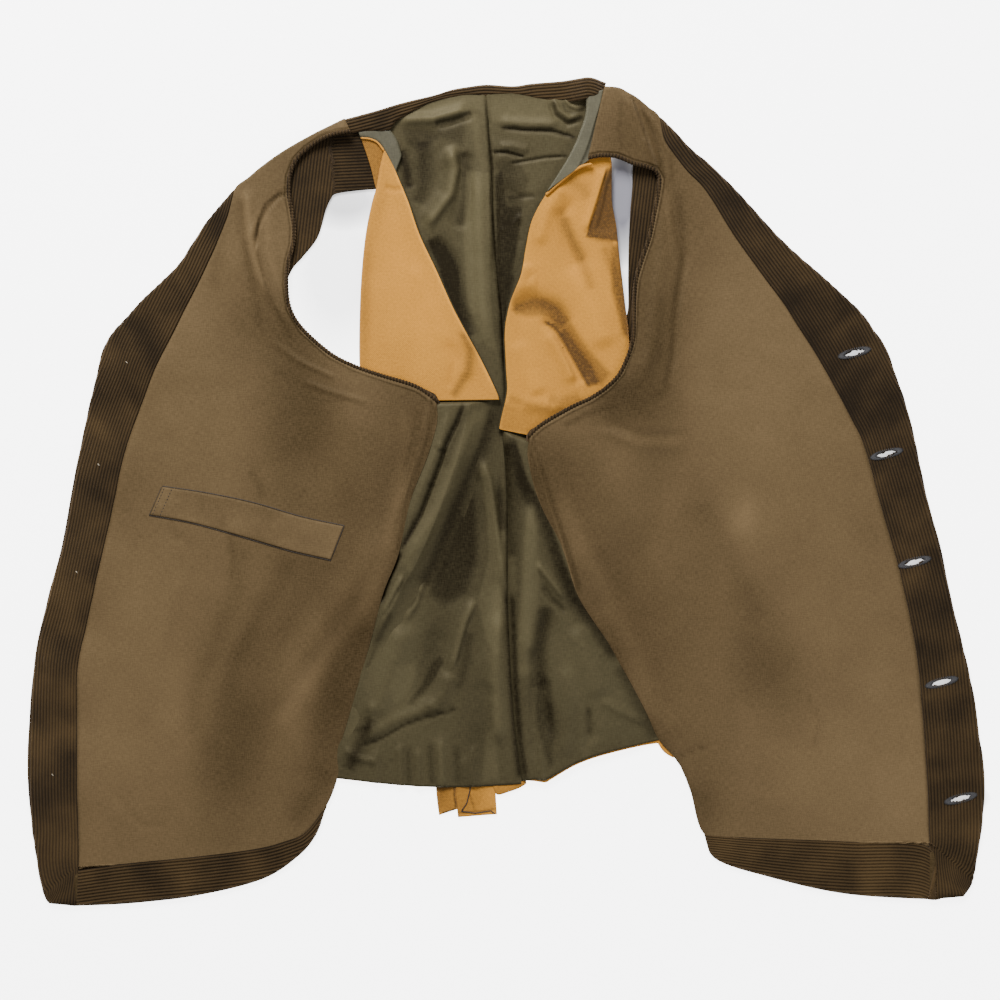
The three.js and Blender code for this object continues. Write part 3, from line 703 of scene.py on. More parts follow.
FLAP_SHEEN_AND_SHADE = [
    (365, 300, 6, 90, 2, -0.22),
    (380, 210, 6, 30, 12, -0.15),
    (420, 300, 40, 90, -20, 0.12),
    (524, 262, 16, 30, 10, 0.12),
    (590, 318, 16, 40, -20, 0.12),
    (530, 370, 20, 30, 0, 0.1),
]
# Light and dark lines painted into the cloth: painted highlights on ridges and rolls, painted
# shade in troughs and beside folds. In the creases' columns but with a tone for the height.
BACK_SHADE_AND_HIGHLIGHT_LINES = [
    (-0.6, 3.2, 0.3, [(434, 124), (452, 120.5), (472, 112.5)]),
    (0.35, 2.6, [(398, 121), (434, 119), (470, 109)]),
    (-1.0, 4.2, [(401, 150), (406, 168), (409, 190)]),
    (0.5, 5, [(449, 144), (456, 170), (450, 195), (433, 218), (422, 230)]),
    (-0.55, 6.5, [(464, 150), (466, 195), (460, 228)]),
    (-0.5, 8, [(424, 140), (425, 180), (418, 205)]),
    (-0.95, 9, [(430, 236), (448, 262), (459, 306), (470, 340)]),
    (0.42, 9, 0.4, [(476, 170), (477, 204), (478, 252), (480, 312), (486, 345)]),
    (0.3, 4, [(474, 112), (478, 150), (486, 172)]),
    (-0.9, 1.4, [(485, 96), (488, 131), (492, 166), (491, 202), (499, 290), (504, 370)]),
    (-1.1, 1.5, 0.4, [(499, 127.5), (530, 130), (552, 130.5), (577, 138)]),
    (-0.9, 1.4, 0.3, [(492, 151.5), (507, 152), (525, 157)]),
    (-0.75, 1.2, [(510, 163.5), (545, 157.5), (569, 156)]),
    (-0.4, 1.6, [(508, 198), (520, 197), (536, 196)]),
    (-0.7, 2.2, [(553, 100), (556, 114), (568, 123), (584, 117)]),
    (-0.6, 1.6, [(562, 102), (565, 111), (574, 114), (584, 109)]),
    (-0.4, 2.5, [(500, 220), (512, 224), (520, 214)]),
    (-0.8, 3.4, [(513, 270), (505, 300), (503, 350), (507, 392), (500, 440)]),
    (-0.75, 7.5, [(496, 404), (483, 446), (469, 472), (458, 500), (448, 528), (434, 564), (420, 590)]),
    (-0.45, 5, [(420, 590), (408, 610)]),
    (0.45, 4.4, [(478, 456), (488, 478), (491, 508), (497, 536), (501, 564), (497, 600)]),
    (0.42, 8, [(498, 590), (495, 632), (496, 680), (500, 740)]),
    (-0.6, 3.5, [(500, 490), (502, 510), (504, 532)]),
    (0.4, 3.4, 0.2, [(476, 598), (465, 621), (458, 646), (451, 670)]),
    (-0.35, 5, [(470, 630), (466, 660), (458, 690)]),
    (0.4, 2.4, [(422, 584), (416, 604), (406, 619)]),
    (-1.0, 1.8, [(507, 436), (508, 518), (509.5, 590)]),
    (-1.3, 4.5, [(508, 586), (511, 625), (513, 678), (517, 730), (522, 782)]),
    (-0.7, 6, [(372, 716), (360, 745), (348, 770)]),
    (-0.7, 1.5, 0.4, [(362, 745), (383, 737), (402, 725), (420, 718), (458, 708)]),
    (-0.35, 3, [(408, 748), (409, 784)]),
    (-0.35, 3, [(430, 742), (432, 784)]),
    (-0.3, 4, [(456, 744), (458, 784)]),
    (0.25, 3, [(440, 742), (442, 784)]),
    (-0.45, 2.5, [(345, 722), (356, 730), (372, 726)]),
]
SIDE_SHADE_AND_HIGHLIGHT_LINES = {
    "right": [
        (-1.1, 2.2, 0.3, [(465, 402), (457, 424), (447, 445), (442, 461), (431, 490), (421, 516),
                          (401, 551)]),
        (-1.1, 3.0, [(401, 551), (389, 578), (380, 604)]),
        (0.5, 8.5, [(482, 405), (471, 431), (460, 458), (449, 488), (435, 516), (416, 546), (402, 571)]),
        (0.35, 3.5, [(402, 571), (394, 596), (382, 618)]),
        (-0.3, 6, [(468, 408), (455, 440), (445, 470)]),
        (0.15, 6, [(450, 408), (440, 440), (425, 480), (414, 520)]),
        (-0.5, 1.2, [(434, 447), (441, 450), (448, 449)]),
        (-0.4, 1.2, [(424, 483), (430, 485), (438, 484)]),
        (-0.75, 7, [(496, 404), (483, 446), (469, 472), (458, 500), (448, 528), (434, 564), (420, 590)]),
        (0.3, 10, [(378, 640), (366, 690), (352, 745)]),
        (-0.5, 4, [(392, 612), (378, 640), (366, 672)]),
    ],
    "left": [
        (-1.0, 5.5, 0.4, [(510, 433), (524, 481), (545, 518), (561, 564), (575, 598), (596, 624),
                          (619, 663)]),
        (-0.55, 6, 0.3, [(619, 663), (645, 712), (658, 738)]),
        (0.45, 7.5, [(531, 500), (529, 541), (527, 587), (524, 632), (525, 680)]),
        (0.3, 2.5, [(536, 561), (549, 579), (563, 597)]),
        (-0.35, 2.5, [(541, 586), (552, 600), (565, 612)]),
        (-0.7, 7, [(546, 604), (539, 655), (540, 690)]),
        (-0.3, 5, [(548, 700), (556, 740)]),
        (-0.9, 3, [(512, 590), (514, 640), (516, 690), (520, 740), (526, 782)]),
        (-0.4, 3, [(588, 706), (590, 740)]),
        (-0.6, 5, [(506, 440), (510, 500), (512, 560)]),
    ],
}
FRONT_SHADE_AND_HIGHLIGHT_LINES = {
    "right": [
        (-1.6, 1.1, [(290, 193.5), (276, 196.7), (266, 204), (259, 221), (257, 240)]),
        (0.35, 4, 0.3, [(246, 188), (248, 214), (256, 262), (266, 300)]),
        (-0.3, 5, [(242, 196), (241, 230), (250, 276), (262, 330)]),
        (-0.35, 1.6, [(257, 248), (266, 286), (282, 320), (292, 342)]),
        (0.25, 4, [(268, 212), (268, 250), (282, 292)]),
        (-0.25, 7, [(232, 196), (222, 240), (212, 290)]),
        (0.45, 10, [(408, 470), (390, 540), (366, 605), (332, 648), (300, 690), (276, 730)]),
        (-0.25, 12, [(372, 620), (340, 670), (322, 720), (316, 780)]),
        (-0.22, 9, [(229, 536), (244, 558), (233, 604), (214, 650), (195, 690), (191, 740)]),
        (-0.25, 10, [(293, 555), (279, 584), (252, 631), (226, 680)]),
        (-0.2, 24, [(384, 430), (352, 500), (330, 580)]),
        (0.2, 6, [(402, 410), (408, 440), (398, 480)]),
        (-0.3, 3, [(424, 410), (416, 446), (406, 484), (394, 540)]),
        (-0.5, 1.0, [(439, 404), (433, 425), (421, 462), (411, 500)]),
        (-0.4, 1.0, [(433, 402), (426, 425), (416, 462), (406, 500)]),
        (-0.35, 5, [(272, 372), (310, 384), (350, 398)]),
        (-0.3, 1.3, [(300, 396), (330, 402), (362, 400)]),
        (-0.3, 3, [(168, 520), (176, 536), (196, 543)]),
        (-0.7, 2, [(372, 646), (362, 690), (350, 720), (342, 752)]),
        (-0.3, 10, [(330, 770), (310, 800), (290, 820)]),
        (-0.35, 4, [(250, 470), (258, 482), (264, 500)]),
        (-0.3, 3, [(230, 536), (234, 560), (230, 580)]),
    ],
    "left": [
        (-0.4, 4.6, [(678, 188), (682, 252), (677, 290), (673, 356), (664, 400)]),
        (-0.35, 9, [(660, 340), (645, 372), (620, 400)]),
        (0.25, 5, [(666, 190), (668, 240), (662, 300)]),
        (-0.7, 1.0, 0.3, [(631, 96), (642, 128), (652, 162)]),
        (-0.6, 2.2, [(640, 109), (656, 142), (664, 180)]),
        (0.3, 2.0, [(634, 98), (646, 130), (655, 160)]),
        (-0.35, 2.4, [(622, 100), (618, 130), (622, 152)]),
        (-0.45, 3, [(561, 427), (596, 411), (640, 399), (664, 392)]),
        (-0.14, 18, [(588, 430), (592, 483), (604, 540)]),
        (0.25, 8, [(552, 460), (566, 510), (590, 560), (612, 600)]),
        (-0.2, 18, [(596, 540), (640, 620), (664, 710)]),
        (0.3, 12, [(600, 600), (640, 670), (674, 730)]),
        (-0.3, 6, [(640, 712), (672, 756), (694, 800)]),
        (-0.3, 1.2, [(806, 692), (819, 716), (813, 748)]),
        (-0.5, 1.0, [(679, 755), (710, 745)]),
        (0.7, 1.3, [(529, 436), (536, 461), (547, 499), (555, 520), (576, 592)]),
        (-0.8, 1.8, [(532, 436), (541, 466), (552, 500), (562, 530), (582, 592)]),
        (-0.2, 12, [(700, 500), (730, 560), (760, 620)]),
    ],
}
FLAP_SHADE_AND_HIGHLIGHT_LINES = [
    (-0.6, 4, [(460, 330), (471, 348), (468, 372), (452, 398)]),
    (-0.8, 5, -0.6, [(609, 168), (600, 202), (590, 232)]),
    (-0.7, 7, [(613, 178), (610, 205), (606, 236)]),
    (-0.45, 3, [(588, 236), (600, 240), (614, 242)]),
    (-0.5, 8, [(511, 308), (536, 301), (556, 308), (566, 326)]),
    (-1.8, 1.7, [(543, 321), (554, 327), (562, 336.5), (568, 348), (575.5, 361), (583, 375),
                 (590, 388)]),
    (-0.9, 5, [(560, 331), (570, 344), (580, 358), (590, 374), (596, 386)]),
    (0.5, 1.6, [(393, 166), (402, 187), (410, 208), (420, 238), (438, 275), (456, 315), (481, 360),
                (497, 394)]),
    (-0.3, 6, [(560, 206), (564, 226), (574, 246), (584, 262)]),
    (-0.35, 5, [(603, 244), (616, 280), (623, 310), (627, 340)]),
    (-0.3, 5, [(563, 216), (572, 240), (582, 262), (592, 292)]),
    (-0.35, 5, [(548, 398), (560, 402), (580, 396)]),
    (-0.3, 4, [(508, 398), (530, 406), (552, 408)]),
    (-0.25, 6, [(568, 180), (584, 190), (588, 200)]),
]
# On the strap ends: painted shadow under the hem, painted shade in folds, a painted highlight below.
STRAP_SHADOW_AND_HIGHLIGHT_LINES = [
    (-0.5, 1.0, [(454, 783), (454.5, 796), (456, 808)]),
    (-0.35, 1.0, [(470, 794), (475, 811)]),
    (-0.4, 6, [(434, 784), (465, 783), (496, 782)]),
    (0.35, 2, [(458, 815), (480, 814), (497, 811)]),
    (-0.6, 0.9, [(458, 812.5), (480, 811), (496, 808.5)]),
    (-0.7, 0.9, [(442, 813), (450, 811), (456, 808.5)]),
]
# Light and dark areas painted into the cloth: painted shade in folds and under edges, painted
# highlights on rolls; the first area of each front darkens the lining's corner at the hem to the
# corduroy's dark. Columns: tone, softness of the edge in squares, and the outline.
FRONT_TONE_AREAS = {
    "right": [
        (-4.0, 1.0, [(66, 869.5), (80, 871), (80, 912), (66, 912)]),
        (-0.5, 3, [(442, 402), (431, 450), (412, 500), (400, 554), (393, 554), (404, 500), (422, 450),
                   (432, 402)]),
    ],
    "left": [
        (-4.0, 1.0, [(928, 849.5), (946, 850), (946, 904), (928, 904)]),
        (-0.7, 2.5, [(525, 437), (530, 475), (540, 506), (561, 548), (576, 594), (583, 594), (568, 548),
                     (553, 500), (541, 468), (533, 440)]),
    ],
}
BACK_SHADE_AND_HIGHLIGHT_AREAS = [
    (0.34, 3.5, [(464, 168), (491, 172), (492, 300), (498, 352), (486, 348), (466, 306), (462, 240)]),
    (-0.65, 4.0, [(493, 176), (503, 168), (508, 205), (524, 206), (522, 226), (516, 262), (504, 300),
                  (499, 360), (497, 300)]),
    (-0.2, 3.0, [(493, 160), (520, 158), (530, 180), (522, 212), (508, 205)]),
    (-0.9, 4, [(426, 238), (446, 244), (461, 270), (461, 312), (474, 348), (462, 336), (444, 290)]),
    (-0.35, 8, [(398, 125), (436, 125), (466, 115), (470, 122), (466, 150), (440, 142), (420, 156),
                (404, 146)]),
    (-0.6, 10, [(489, 440), (476, 470), (464, 500), (451, 532), (436, 562), (424, 596), (445, 612),
                (470, 596), (482, 560), (480, 520), (478, 490), (486, 462)]),
    (0.32, 4, [(477, 455), (488, 476), (491, 510), (497, 548), (503, 600), (500, 660), (484, 640),
               (476, 600), (487, 560), (485, 520), (481, 490)]),
    (-0.35, 4, [(494, 480), (502, 476), (504, 530), (500, 540), (496, 520)]),
    (-0.5, 5, [(440, 652), (447, 662), (436, 682), (414, 706), (404, 704), (420, 682), (430, 662)]),
    (0.3, 6, [(396, 664), (418, 660), (420, 676), (408, 698), (394, 708), (386, 690)]),
    (0.3, 5, [(484, 730), (497, 726), (502, 782), (480, 784)]),
    (0.22, 5, [(418, 104), (484, 92), (484, 112), (452, 114), (430, 118), (400, 122)]),
    (0.22, 5, [(488, 93), (584, 98), (578, 118), (552, 126), (490, 124)]),
]
SIDE_SHADE_AND_HIGHLIGHT_AREAS = {
    "right": [
        (0.2, 4, [(481, 404), (494, 404), (480, 446), (462, 490), (440, 534), (412, 576), (402, 572),
                  (436, 516), (458, 470), (472, 430)]),
    ],
    "left": [
        (-0.35, 8, [(512, 440), (520, 448), (529, 480), (533, 502), (528, 540), (525, 590), (521, 640),
                    (513, 640), (512, 560), (510, 500)]),
        (0.3, 6, [(531, 500), (539, 530), (541, 560), (541, 600), (536, 650), (524, 650), (524, 600),
                  (528, 560)]),
        (-0.45, 6, [(542, 668), (533, 694), (533, 720), (538, 740), (546, 764), (556, 764), (556, 720),
                    (554, 680)]),
        (0.22, 6, [(576, 738), (592, 730), (610, 742), (590, 754), (578, 756)]),
    ],
}
FLAP_SHADE_AREAS = [
    (-1.5, 2.2, [(611, 163), (598, 202), (584.5, 238), (602, 240.5), (619, 243), (614, 205),
                 (612, 170)]),
    (-0.5, 6, [(606, 214), (586, 238), (602, 241), (619, 243), (616, 216)]),
    (-0.55, 7, [(506, 312), (516, 302), (530, 296), (545, 296), (558, 303), (570, 316), (580, 331),
                (592, 349), (604, 362), (614, 374), (604, 388), (592, 388), (583, 376), (575, 361),
                (568, 348), (561, 335), (552, 325), (543, 320), (524, 320)]),
    (-0.28, 4, [(545, 312), (558, 318), (570, 332), (582, 350), (594, 368), (600, 386), (590, 388),
                (583, 376), (575, 361), (568, 348), (561, 335), (552, 325)]),
    (-0.7, 7, [(608, 243), (622, 243), (629, 290), (631, 345), (620, 335), (608, 290)]),
    (-0.25, 5, [(500, 400), (530, 408), (560, 404), (590, 392), (560, 440), (498, 432)]),
]
# How the tone of each cloth is made up: what it starts from, and the share of each part. The
# painted part is the piece's tone attribute, which carries painted shade and highlights.
WOVEN_TONE = {"start": 0.25, "grain": 0.3, "wear": 0.2, "painted": 0.5}
TWILL_TONE = {"start": 0.33, "ribs": 0.14, "grain": 0.22, "wear": 0.2, "painted": 0.75}
CORDUROY_TONE = {"start": -0.33, "ribs": 0.55, "grain": 0.3, "wear": 0.45, "painted": 0.5}
# How much stronger the painted shade and highlights are on the satin.
SATIN_CONTRAST = 1.25
# Tone of each front facing down its length: how much it gains, around which y, over what
# length in squares, and the level it is gained on.
FACING_FADE = {"right": (0.19, 480, 120, 0.12), "left": (0.26, 640, 100, -0.04)}
HEM_FACING_TONE = {"right": 0.13, "left": 0.45}

# Colours as linear red, green, blue and opacity. The light ends are shares of the panel's.
SATEEN_DARK = (0.0235, 0.0143, 0.0046, 1)
SATEEN_LIGHT_SHARE = 1.75
SATIN_DARK = (0.0055, 0.0036, 0.0011, 1)
SATIN_LIGHT_SHARE = 2.25
# A lit copy of the satin, for pieces turned to the light: its pale grey is painted sheen.
SHEEN_LIT_SATIN_DARK = (0.012, 0.0105, 0.0062, 1)
SHEEN_LIT_SATIN_LIGHT = (0.105, 0.096, 0.060, 1)
TWILL_DARK = (0.066, 0.034, 0.011, 1)
TWILL_LIGHT_SHARE = 1.36
CORDUROY_SHARES = (0.2, 2.7)
DARK_THREAD = (0.030, 0.029, 0.032, 1)
BROWN_THREAD = (0.016, 0.009, 0.005, 1)
PALE_THREAD = (0.42, 0.36, 0.27, 1)
HORN_DARK = (0.012, 0.008, 0.005, 1)
HORN_LIGHT = (0.06, 0.036, 0.02, 1)
FLOOR_PALE = (0.95, 0.95, 0.955, 1)
FLOOR_DARK = (0.16, 0.155, 0.185, 1)

# Soft shade on the floor inside the armholes. Columns: x, y, half width, half height and depth.
FLOOR_SHADES = [
    (622, 196, 16, 46, 0.95),
    (624, 286, 14, 44, 0.25),
    (346, 200, 34, 20, 0.3),
    (338, 270, 44, 70, 0.16),
]
# The same round each buttonhole: half width, half height and depth.
BUTTONHOLE_SHADE = (20, 10, 0.3)
FLOOR_SHADE_REACH = 1.6
FLOOR_GLOW = 5.0
FLOOR_GLOW_FALL = 4.0
# Soft boxes aimed at the middle. Columns: name, watts, side in metres and place.
LIGHTS = [
    ("key", 80, 0.8, (-0.45, 1.5, 1.15)),
    ("fill", 18, 1.6, (1.2, -0.9, 1.5)),
]
SKY_STRENGTH = 0.42
# The camera's sensor in millimetres and the side of the square picture in chart squares.
SENSOR_MM = 36
PHOTO_SIDE = 1000


def smooth_step(t):
    t = np.clip(t, 0, 1)
    return t * t * (3 - 2 * t)


def bell(distance, reach):
    """From 1 at no distance down to about a third at the reach, and soon to nothing."""
    return np.exp(-((distance / reach) ** 2))


def spline(points, t):
    """Points at t from 0 to 1 on the smooth line through the given points."""
    points = np.asarray(points, float)
    padded = np.vstack([2 * points[0] - points[1], points, 2 * points[-1] - points[-2]])
    place = np.clip(t, 0, 1) * (len(points) - 1)
    start = np.minimum(place.astype(int), len(points) - 2)
    s = (place - start)[:, None]
    a, b, c, d = (padded[start + k] for k in range(4))
    bend = (-a + 3 * b - 3 * c + d) * s**3 + (2 * a - 5 * b + 4 * c - d) * s**2
    return 0.5 * (2 * b + (c - a) * s + bend)


def columns(table, first, count=2):
    return np.array([row[first:first + count] for row in table], float)


def ruled(table, first, second, u, v):
    """Chart points u of the way across the rows of a table, v of the way down them."""
    here = spline(columns(table, first), v)
    there = spline(columns(table, second), v)
    return here + (there - here) * u[:, None], np.linalg.norm(there - here, axis=1)


def value_down(table, column, v):
    """A single column of a table at v of the way down it."""
    return spline(columns(table, column, 1).repeat(2, axis=1), v)[:, 0]


def direction(table, first, second, v):
    """Unit steps on the chart from one edge of a table to the other, at v of the way down."""
    step = spline(columns(table, second), v) - spline(columns(table, first), v)
    return step / np.maximum(np.linalg.norm(step, axis=1), 1e-6)[:, None]


def from_sides(u, wide):
    """Distance in millimetres to the nearer side of a sheet that is so many squares wide."""
    return np.minimum(u, 1 - u) * wide * SQUARE_MM


def along_rows(table, first, v):
    """Distance in squares down a column of a table, at v of the way down it."""
    steps = np.linspace(0, 1, 400)
    line = spline(columns(table, first), steps)
    lengths = np.r_[0, np.cumsum(np.linalg.norm(np.diff(line, axis=0), axis=1))]
    return np.interp(v, steps, lengths)


def to_polyline(points, line, closed=False):
    """Each point's distance to a line, the share of the line before it, and its side."""
    line = np.asarray(line, float)
    if closed:
        line = np.vstack([line, line[:1]])
    lengths = np.linalg.norm(np.diff(line, axis=0), axis=1)
    starts = np.r_[0, np.cumsum(lengths)]
    best = np.full(len(points), np.inf)
    share = np.zeros(len(points))
    side = np.zeros(len(points))
    for k, (a, b) in enumerate(zip(line[:-1], line[1:])):
        run = b - a
        t = np.clip(((points - a) @ run) / max(run @ run, 1e-9), 0, 1)
        offset = points - (a + t[:, None] * run)
        distance = np.hypot(offset[:, 0], offset[:, 1])
        nearer = distance < best
        best[nearer] = distance[nearer]
        share[nearer] = (starts[k] + t[nearer] * lengths[k]) / starts[-1]
        cross = run[0] * offset[:, 1] - run[1] * offset[:, 0]
        side[nearer] = np.sign(cross[nearer])
    return best, share, side


def inside(points, outline):
    found = np.zeros(len(points), bool)
    x, y = points[:, 0], points[:, 1]
    for a, b in zip(outline, np.roll(outline, -1, axis=0)):
        level = (a[1] > y) != (b[1] > y)
        if a[1] != b[1]:
            found ^= level & (x < (b[0] - a[0]) * (y - a[1]) / (b[1] - a[1]) + a[0])
    return found


def distance_to(points, outline):
    distance = to_polyline(points, outline, closed=True)[0]
    return np.where(inside(points, outline), 0, distance)


def outline_of(table):
    return np.vstack([columns(table, 0), columns(table, 2)[::-1]])


FLAP_OUTLINES = [outline_of(RIGHT_FLAP), outline_of(LEFT_FLAP)]
STRAP_OUTLINES = [outline_of(RIGHT_STRAP), outline_of(LEFT_STRAP)]


def lift_over(points, outlines, height):
    nearest = np.min([distance_to(points, outline) for outline in outlines], axis=0) * SQUARE_MM
    return height * (1 - smooth_step((nearest - SLOPE_START) / SLOPE_LENGTH))


def over_layers(points):
    """Height of the underside of what lies over the flaps, turned straps and buttons."""
    over = np.maximum(
        lift_over(points, FLAP_OUTLINES, OVER_FLAP), lift_over(points, STRAP_OUTLINES, OVER_STRAP)
    )
    nearest = np.min([np.hypot(*(points - button).T) for button in np.array(BUTTONS, float)], axis=0)
    bump = BUTTON_BUMP_HEIGHT * (1 - smooth_step(nearest * SQUARE_MM / BUTTON_BUMP_REACH))
    return np.maximum(over, bump)


def creased(points, table, ends=6):
    """The sum of a table's creases at the points; the ends of each fade over a share of it."""
    total = np.zeros(len(points))
    for height, width, *lean, line in table:
        distance, share, side = to_polyline(points, line)
        fade = smooth_step(share * ends) * smooth_step((1 - share) * ends)
        reach = width * (1 + sum(lean) * side * smooth_step(distance / width) * fade)
        total += height * bell(distance, reach) * (0.05 + 0.95 * fade)
    return total


def toned(points, table, lines=(), areas=()):
    """Tone from -1 to 1 that patches, lines and areas paint: mostly painted shade and highlights."""
    total = creased(points, lines, TONE_LINE_ENDS)
    for amount, softness, outline in areas:
        within = inside(points, np.array(outline, float))
        depth = to_polyline(points, outline, closed=True)[0] * within
        total += amount * smooth_step(depth / softness)
    for x, y, wide, high, turn, amount in table:
        angle = math.radians(turn)
        offset = points - (x, y)
        across = (offset[:, 0] * math.cos(angle) + offset[:, 1] * math.sin(angle)) / wide
        down = (offset[:, 1] * math.cos(angle) - offset[:, 0] * math.sin(angle)) / high
        total += amount * np.exp(-(across**2 + down**2))
    return TONE_LIMIT * np.tanh(total / TONE_LIMIT)


def soft_noise(points, size, seed):
    """Smooth noise from -1 to 1 with lumps of about the given size in squares."""
    lattice = np.random.RandomState(seed).uniform(-1, 1, (NOISE_LATTICE, NOISE_LATTICE))
    place = points / size
    cell = np.floor(place).astype(int)
    s = smooth_step(place - cell)
    corners = []
    for i, j in ((0, 0), (0, 1), (1, 0), (1, 1)):
        corner = (cell + (i, j)) % NOISE_LATTICE
        corners.append(lattice[corner[:, 0], corner[:, 1]])
    top = corners[0] + (corners[2] - corners[0]) * s[:, 0]
    bottom = corners[1] + (corners[3] - corners[1]) * s[:, 0]
    return top + (bottom - top) * s[:, 1]


def settled(points, seed, amount):
    """The slight unevenness of cloth that has been worn and laid down."""
    slow = soft_noise(points, 38, seed) * 0.6 + soft_noise(points, 17, seed + 1) * 0.28
    return amount * (slow + soft_noise(points, 8, seed + 2) * 0.12)


def new_object(name, mesh, material):
    piece = bpy.data.objects.new(name, mesh)
    bpy.context.scene.collection.objects.link(piece)
    mesh.materials.append(material)
    mesh.polygons.foreach_set("use_smooth", [True] * len(mesh.polygons))
    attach(piece, "root")
    return piece


def make_sheet(name, material, cells, shape, thickness=0.8):
    """A grid of cells moved to shape(u, v), which gives chart points, heights of the top
    face in millimetres, cloth coordinates in millimetres and tones, and which points are
    cut away if any are. The thickness hangs below the top face."""
    bm = bmesh.new()
    bmesh.ops.create_grid(bm, x_segments=cells[0], y_segments=cells[1], size=0.5)
    flat = np.array([v.co[:2] for v in bm.verts]) + 0.5
    points, heights, cloth, tones, *cut = shape(flat[:, 0], flat[:, 1])
    places = np.empty((len(points), 3))
    places[:, 0] = (points[:, 0] - MIDDLE_X) * SQUARE
    places[:, 1] = (MIDDLE_Y - points[:, 1]) * SQUARE
    places[:, 2] = heights * MM
    for vert, place in zip(bm.verts, places):
        vert.co = place
    if cut:
        lost = [f for f in bm.faces if all(cut[0][v.index] for v in f.verts)]
        bmesh.ops.delete(bm, geom=lost, context="FACES_ONLY")
    bm.normal_update()
    if sum(f.normal.z for f in bm.faces) < 0:
        bmesh.ops.reverse_faces(bm, faces=bm.faces)
    mesh = bpy.data.meshes.new(name)
    bm.to_mesh(mesh)
    bm.free()
    corner = np.empty(len(mesh.loops), int)
    mesh.loops.foreach_get("vertex_index", corner)
    layer = mesh.uv_layers.new(name="cloth")
    layer.data.foreach_set("uv", (cloth[corner] * MM).ravel())
    tone = mesh.attributes.new("tone", "FLOAT", "POINT")
    tone.data.foreach_set("value", tones)
    clean = bmesh.new()
    clean.from_mesh(mesh)
    bmesh.ops.remove_doubles(clean, verts=clean.verts, dist=2e-5)
    bmesh.ops.dissolve_degenerate(clean, edges=clean.edges, dist=2e-5)
    bmesh.ops.delete(clean, geom=[v for v in clean.verts if not v.link_faces], context="VERTS")
    clean.to_mesh(mesh)
    clean.free()
    piece = new_object(name, mesh, material)
    wall = piece.modifiers.new("wall", "SOLIDIFY")
    wall.thickness = thickness * MM
    wall.offset = -1
    return piece


def make_cord(name, material, route, radius, teeth=0.0, sides=8, steps=None):
    """A closed round bead along a route of chart x, chart y and height in millimetres."""
    route = np.array(route, float)
    route[:, :2] *= SQUARE_MM
    lengths = np.r_[0, np.cumsum(np.linalg.norm(np.diff(route, axis=0), axis=1))]
    count = steps or max(int(lengths[-1] / 0.6), 8)
    spots = np.linspace(0, lengths[-1], count + 1)
    line = np.column_stack([np.interp(spots, lengths, route[:, k]) for k in range(3)])
    ahead = np.gradient(line, axis=0)
    ahead /= np.linalg.norm(ahead, axis=1)[:, None]
    out = np.column_stack([ahead[:, 1], -ahead[:, 0], np.zeros(len(ahead))])
    out /= np.maximum(np.linalg.norm(out, axis=1), 1e-6)[:, None]
    up = np.cross(out, ahead)
    bm = bmesh.new()
    bmesh.ops.create_grid(bm, x_segments=sides, y_segments=count, size=0.5)
    flat = np.array([v.co[:2] for v in bm.verts]) + 0.5
    spot = np.rint(flat[:, 1] * count).astype(int)
    turn = flat[:, 0] * 2 * math.pi
    taper = np.sqrt(np.clip(np.minimum(spots, lengths[-1] - spots) / radius, 0.02, 1))
    thick = radius * taper * (1 + teeth * np.sin(2 * math.pi * spots / (CORD_TOOTH_PITCH * SQUARE_MM)))
    around = np.cos(turn)[:, None] * out[spot] + np.sin(turn)[:, None] * up[spot]
    places = line[spot] + around * thick[spot][:, None]
    places[:, 0] -= MIDDLE_X * SQUARE_MM
    places[:, 1] = MIDDLE_Y * SQUARE_MM - places[:, 1]
    for vert, place in zip(bm.verts, places * MM):
        vert.co = place
    bmesh.ops.remove_doubles(bm, verts=bm.verts, dist=1e-5)
    bmesh.ops.holes_fill(bm, edges=[e for e in bm.edges if e.is_boundary], sides=sides)
    bmesh.ops.recalc_face_normals(bm, faces=bm.faces)
    mesh = bpy.data.meshes.new(name)
    bm.to_mesh(mesh)
    bm.free()
    layer = mesh.uv_layers.new(name="cloth")
    corner = np.empty(len(mesh.loops), int)
    mesh.loops.foreach_get("vertex_index", corner)
    seen = np.array([v.co for v in mesh.vertices])
    layer.data.foreach_set("uv", seen[corner][:, :2].ravel())
    return new_object(name, mesh, material)


def joined(name, pieces):
    """One object that holds the meshes of several, which are removed."""
    bm = bmesh.new()
    material = pieces[0].data.materials[0]
    for piece in pieces:
        bm.from_mesh(piece.data)
        bpy.data.objects.remove(piece)
    mesh = bpy.data.meshes.new(name)
    bm.to_mesh(mesh)
    bm.free()
    return new_object(name, mesh, material)


class NodeTree:
    """Adds nodes to a material or node group, with values and links given by name."""

    def __init__(self, tree):
        self.tree = tree

    def add(self, kind, inputs=None, **settings):
        node = self.tree.nodes.new("ShaderNode" + kind)
        for name, value in settings.items():
            setattr(node, name, value)
        for name, value in (inputs or {}).items():
            socket = node.inputs[name]
            if isinstance(value, bpy.types.NodeSocket):
                self.tree.links.new(value, socket)
            else:
                socket.default_value = value
        return node

    def math(self, operation, a, b=0.0, clamp=False):
        return self.add("Math", {0: a, 1: b}, operation=operation, use_clamp=clamp).outputs[0]

    def mix(self, factor, a, b):
        node = self.add("Mix", {"Factor": factor}, data_type="RGBA")
        for name, value in (("A", a), ("B", b)):
            socket = [s for s in node.inputs if s.name == name and s.type == "RGBA"][0]
            if isinstance(value, bpy.types.NodeSocket):
                self.tree.links.new(value, socket)
            else:
                socket.default_value = value
        return [s for s in node.outputs if s.type == "RGBA"][0]


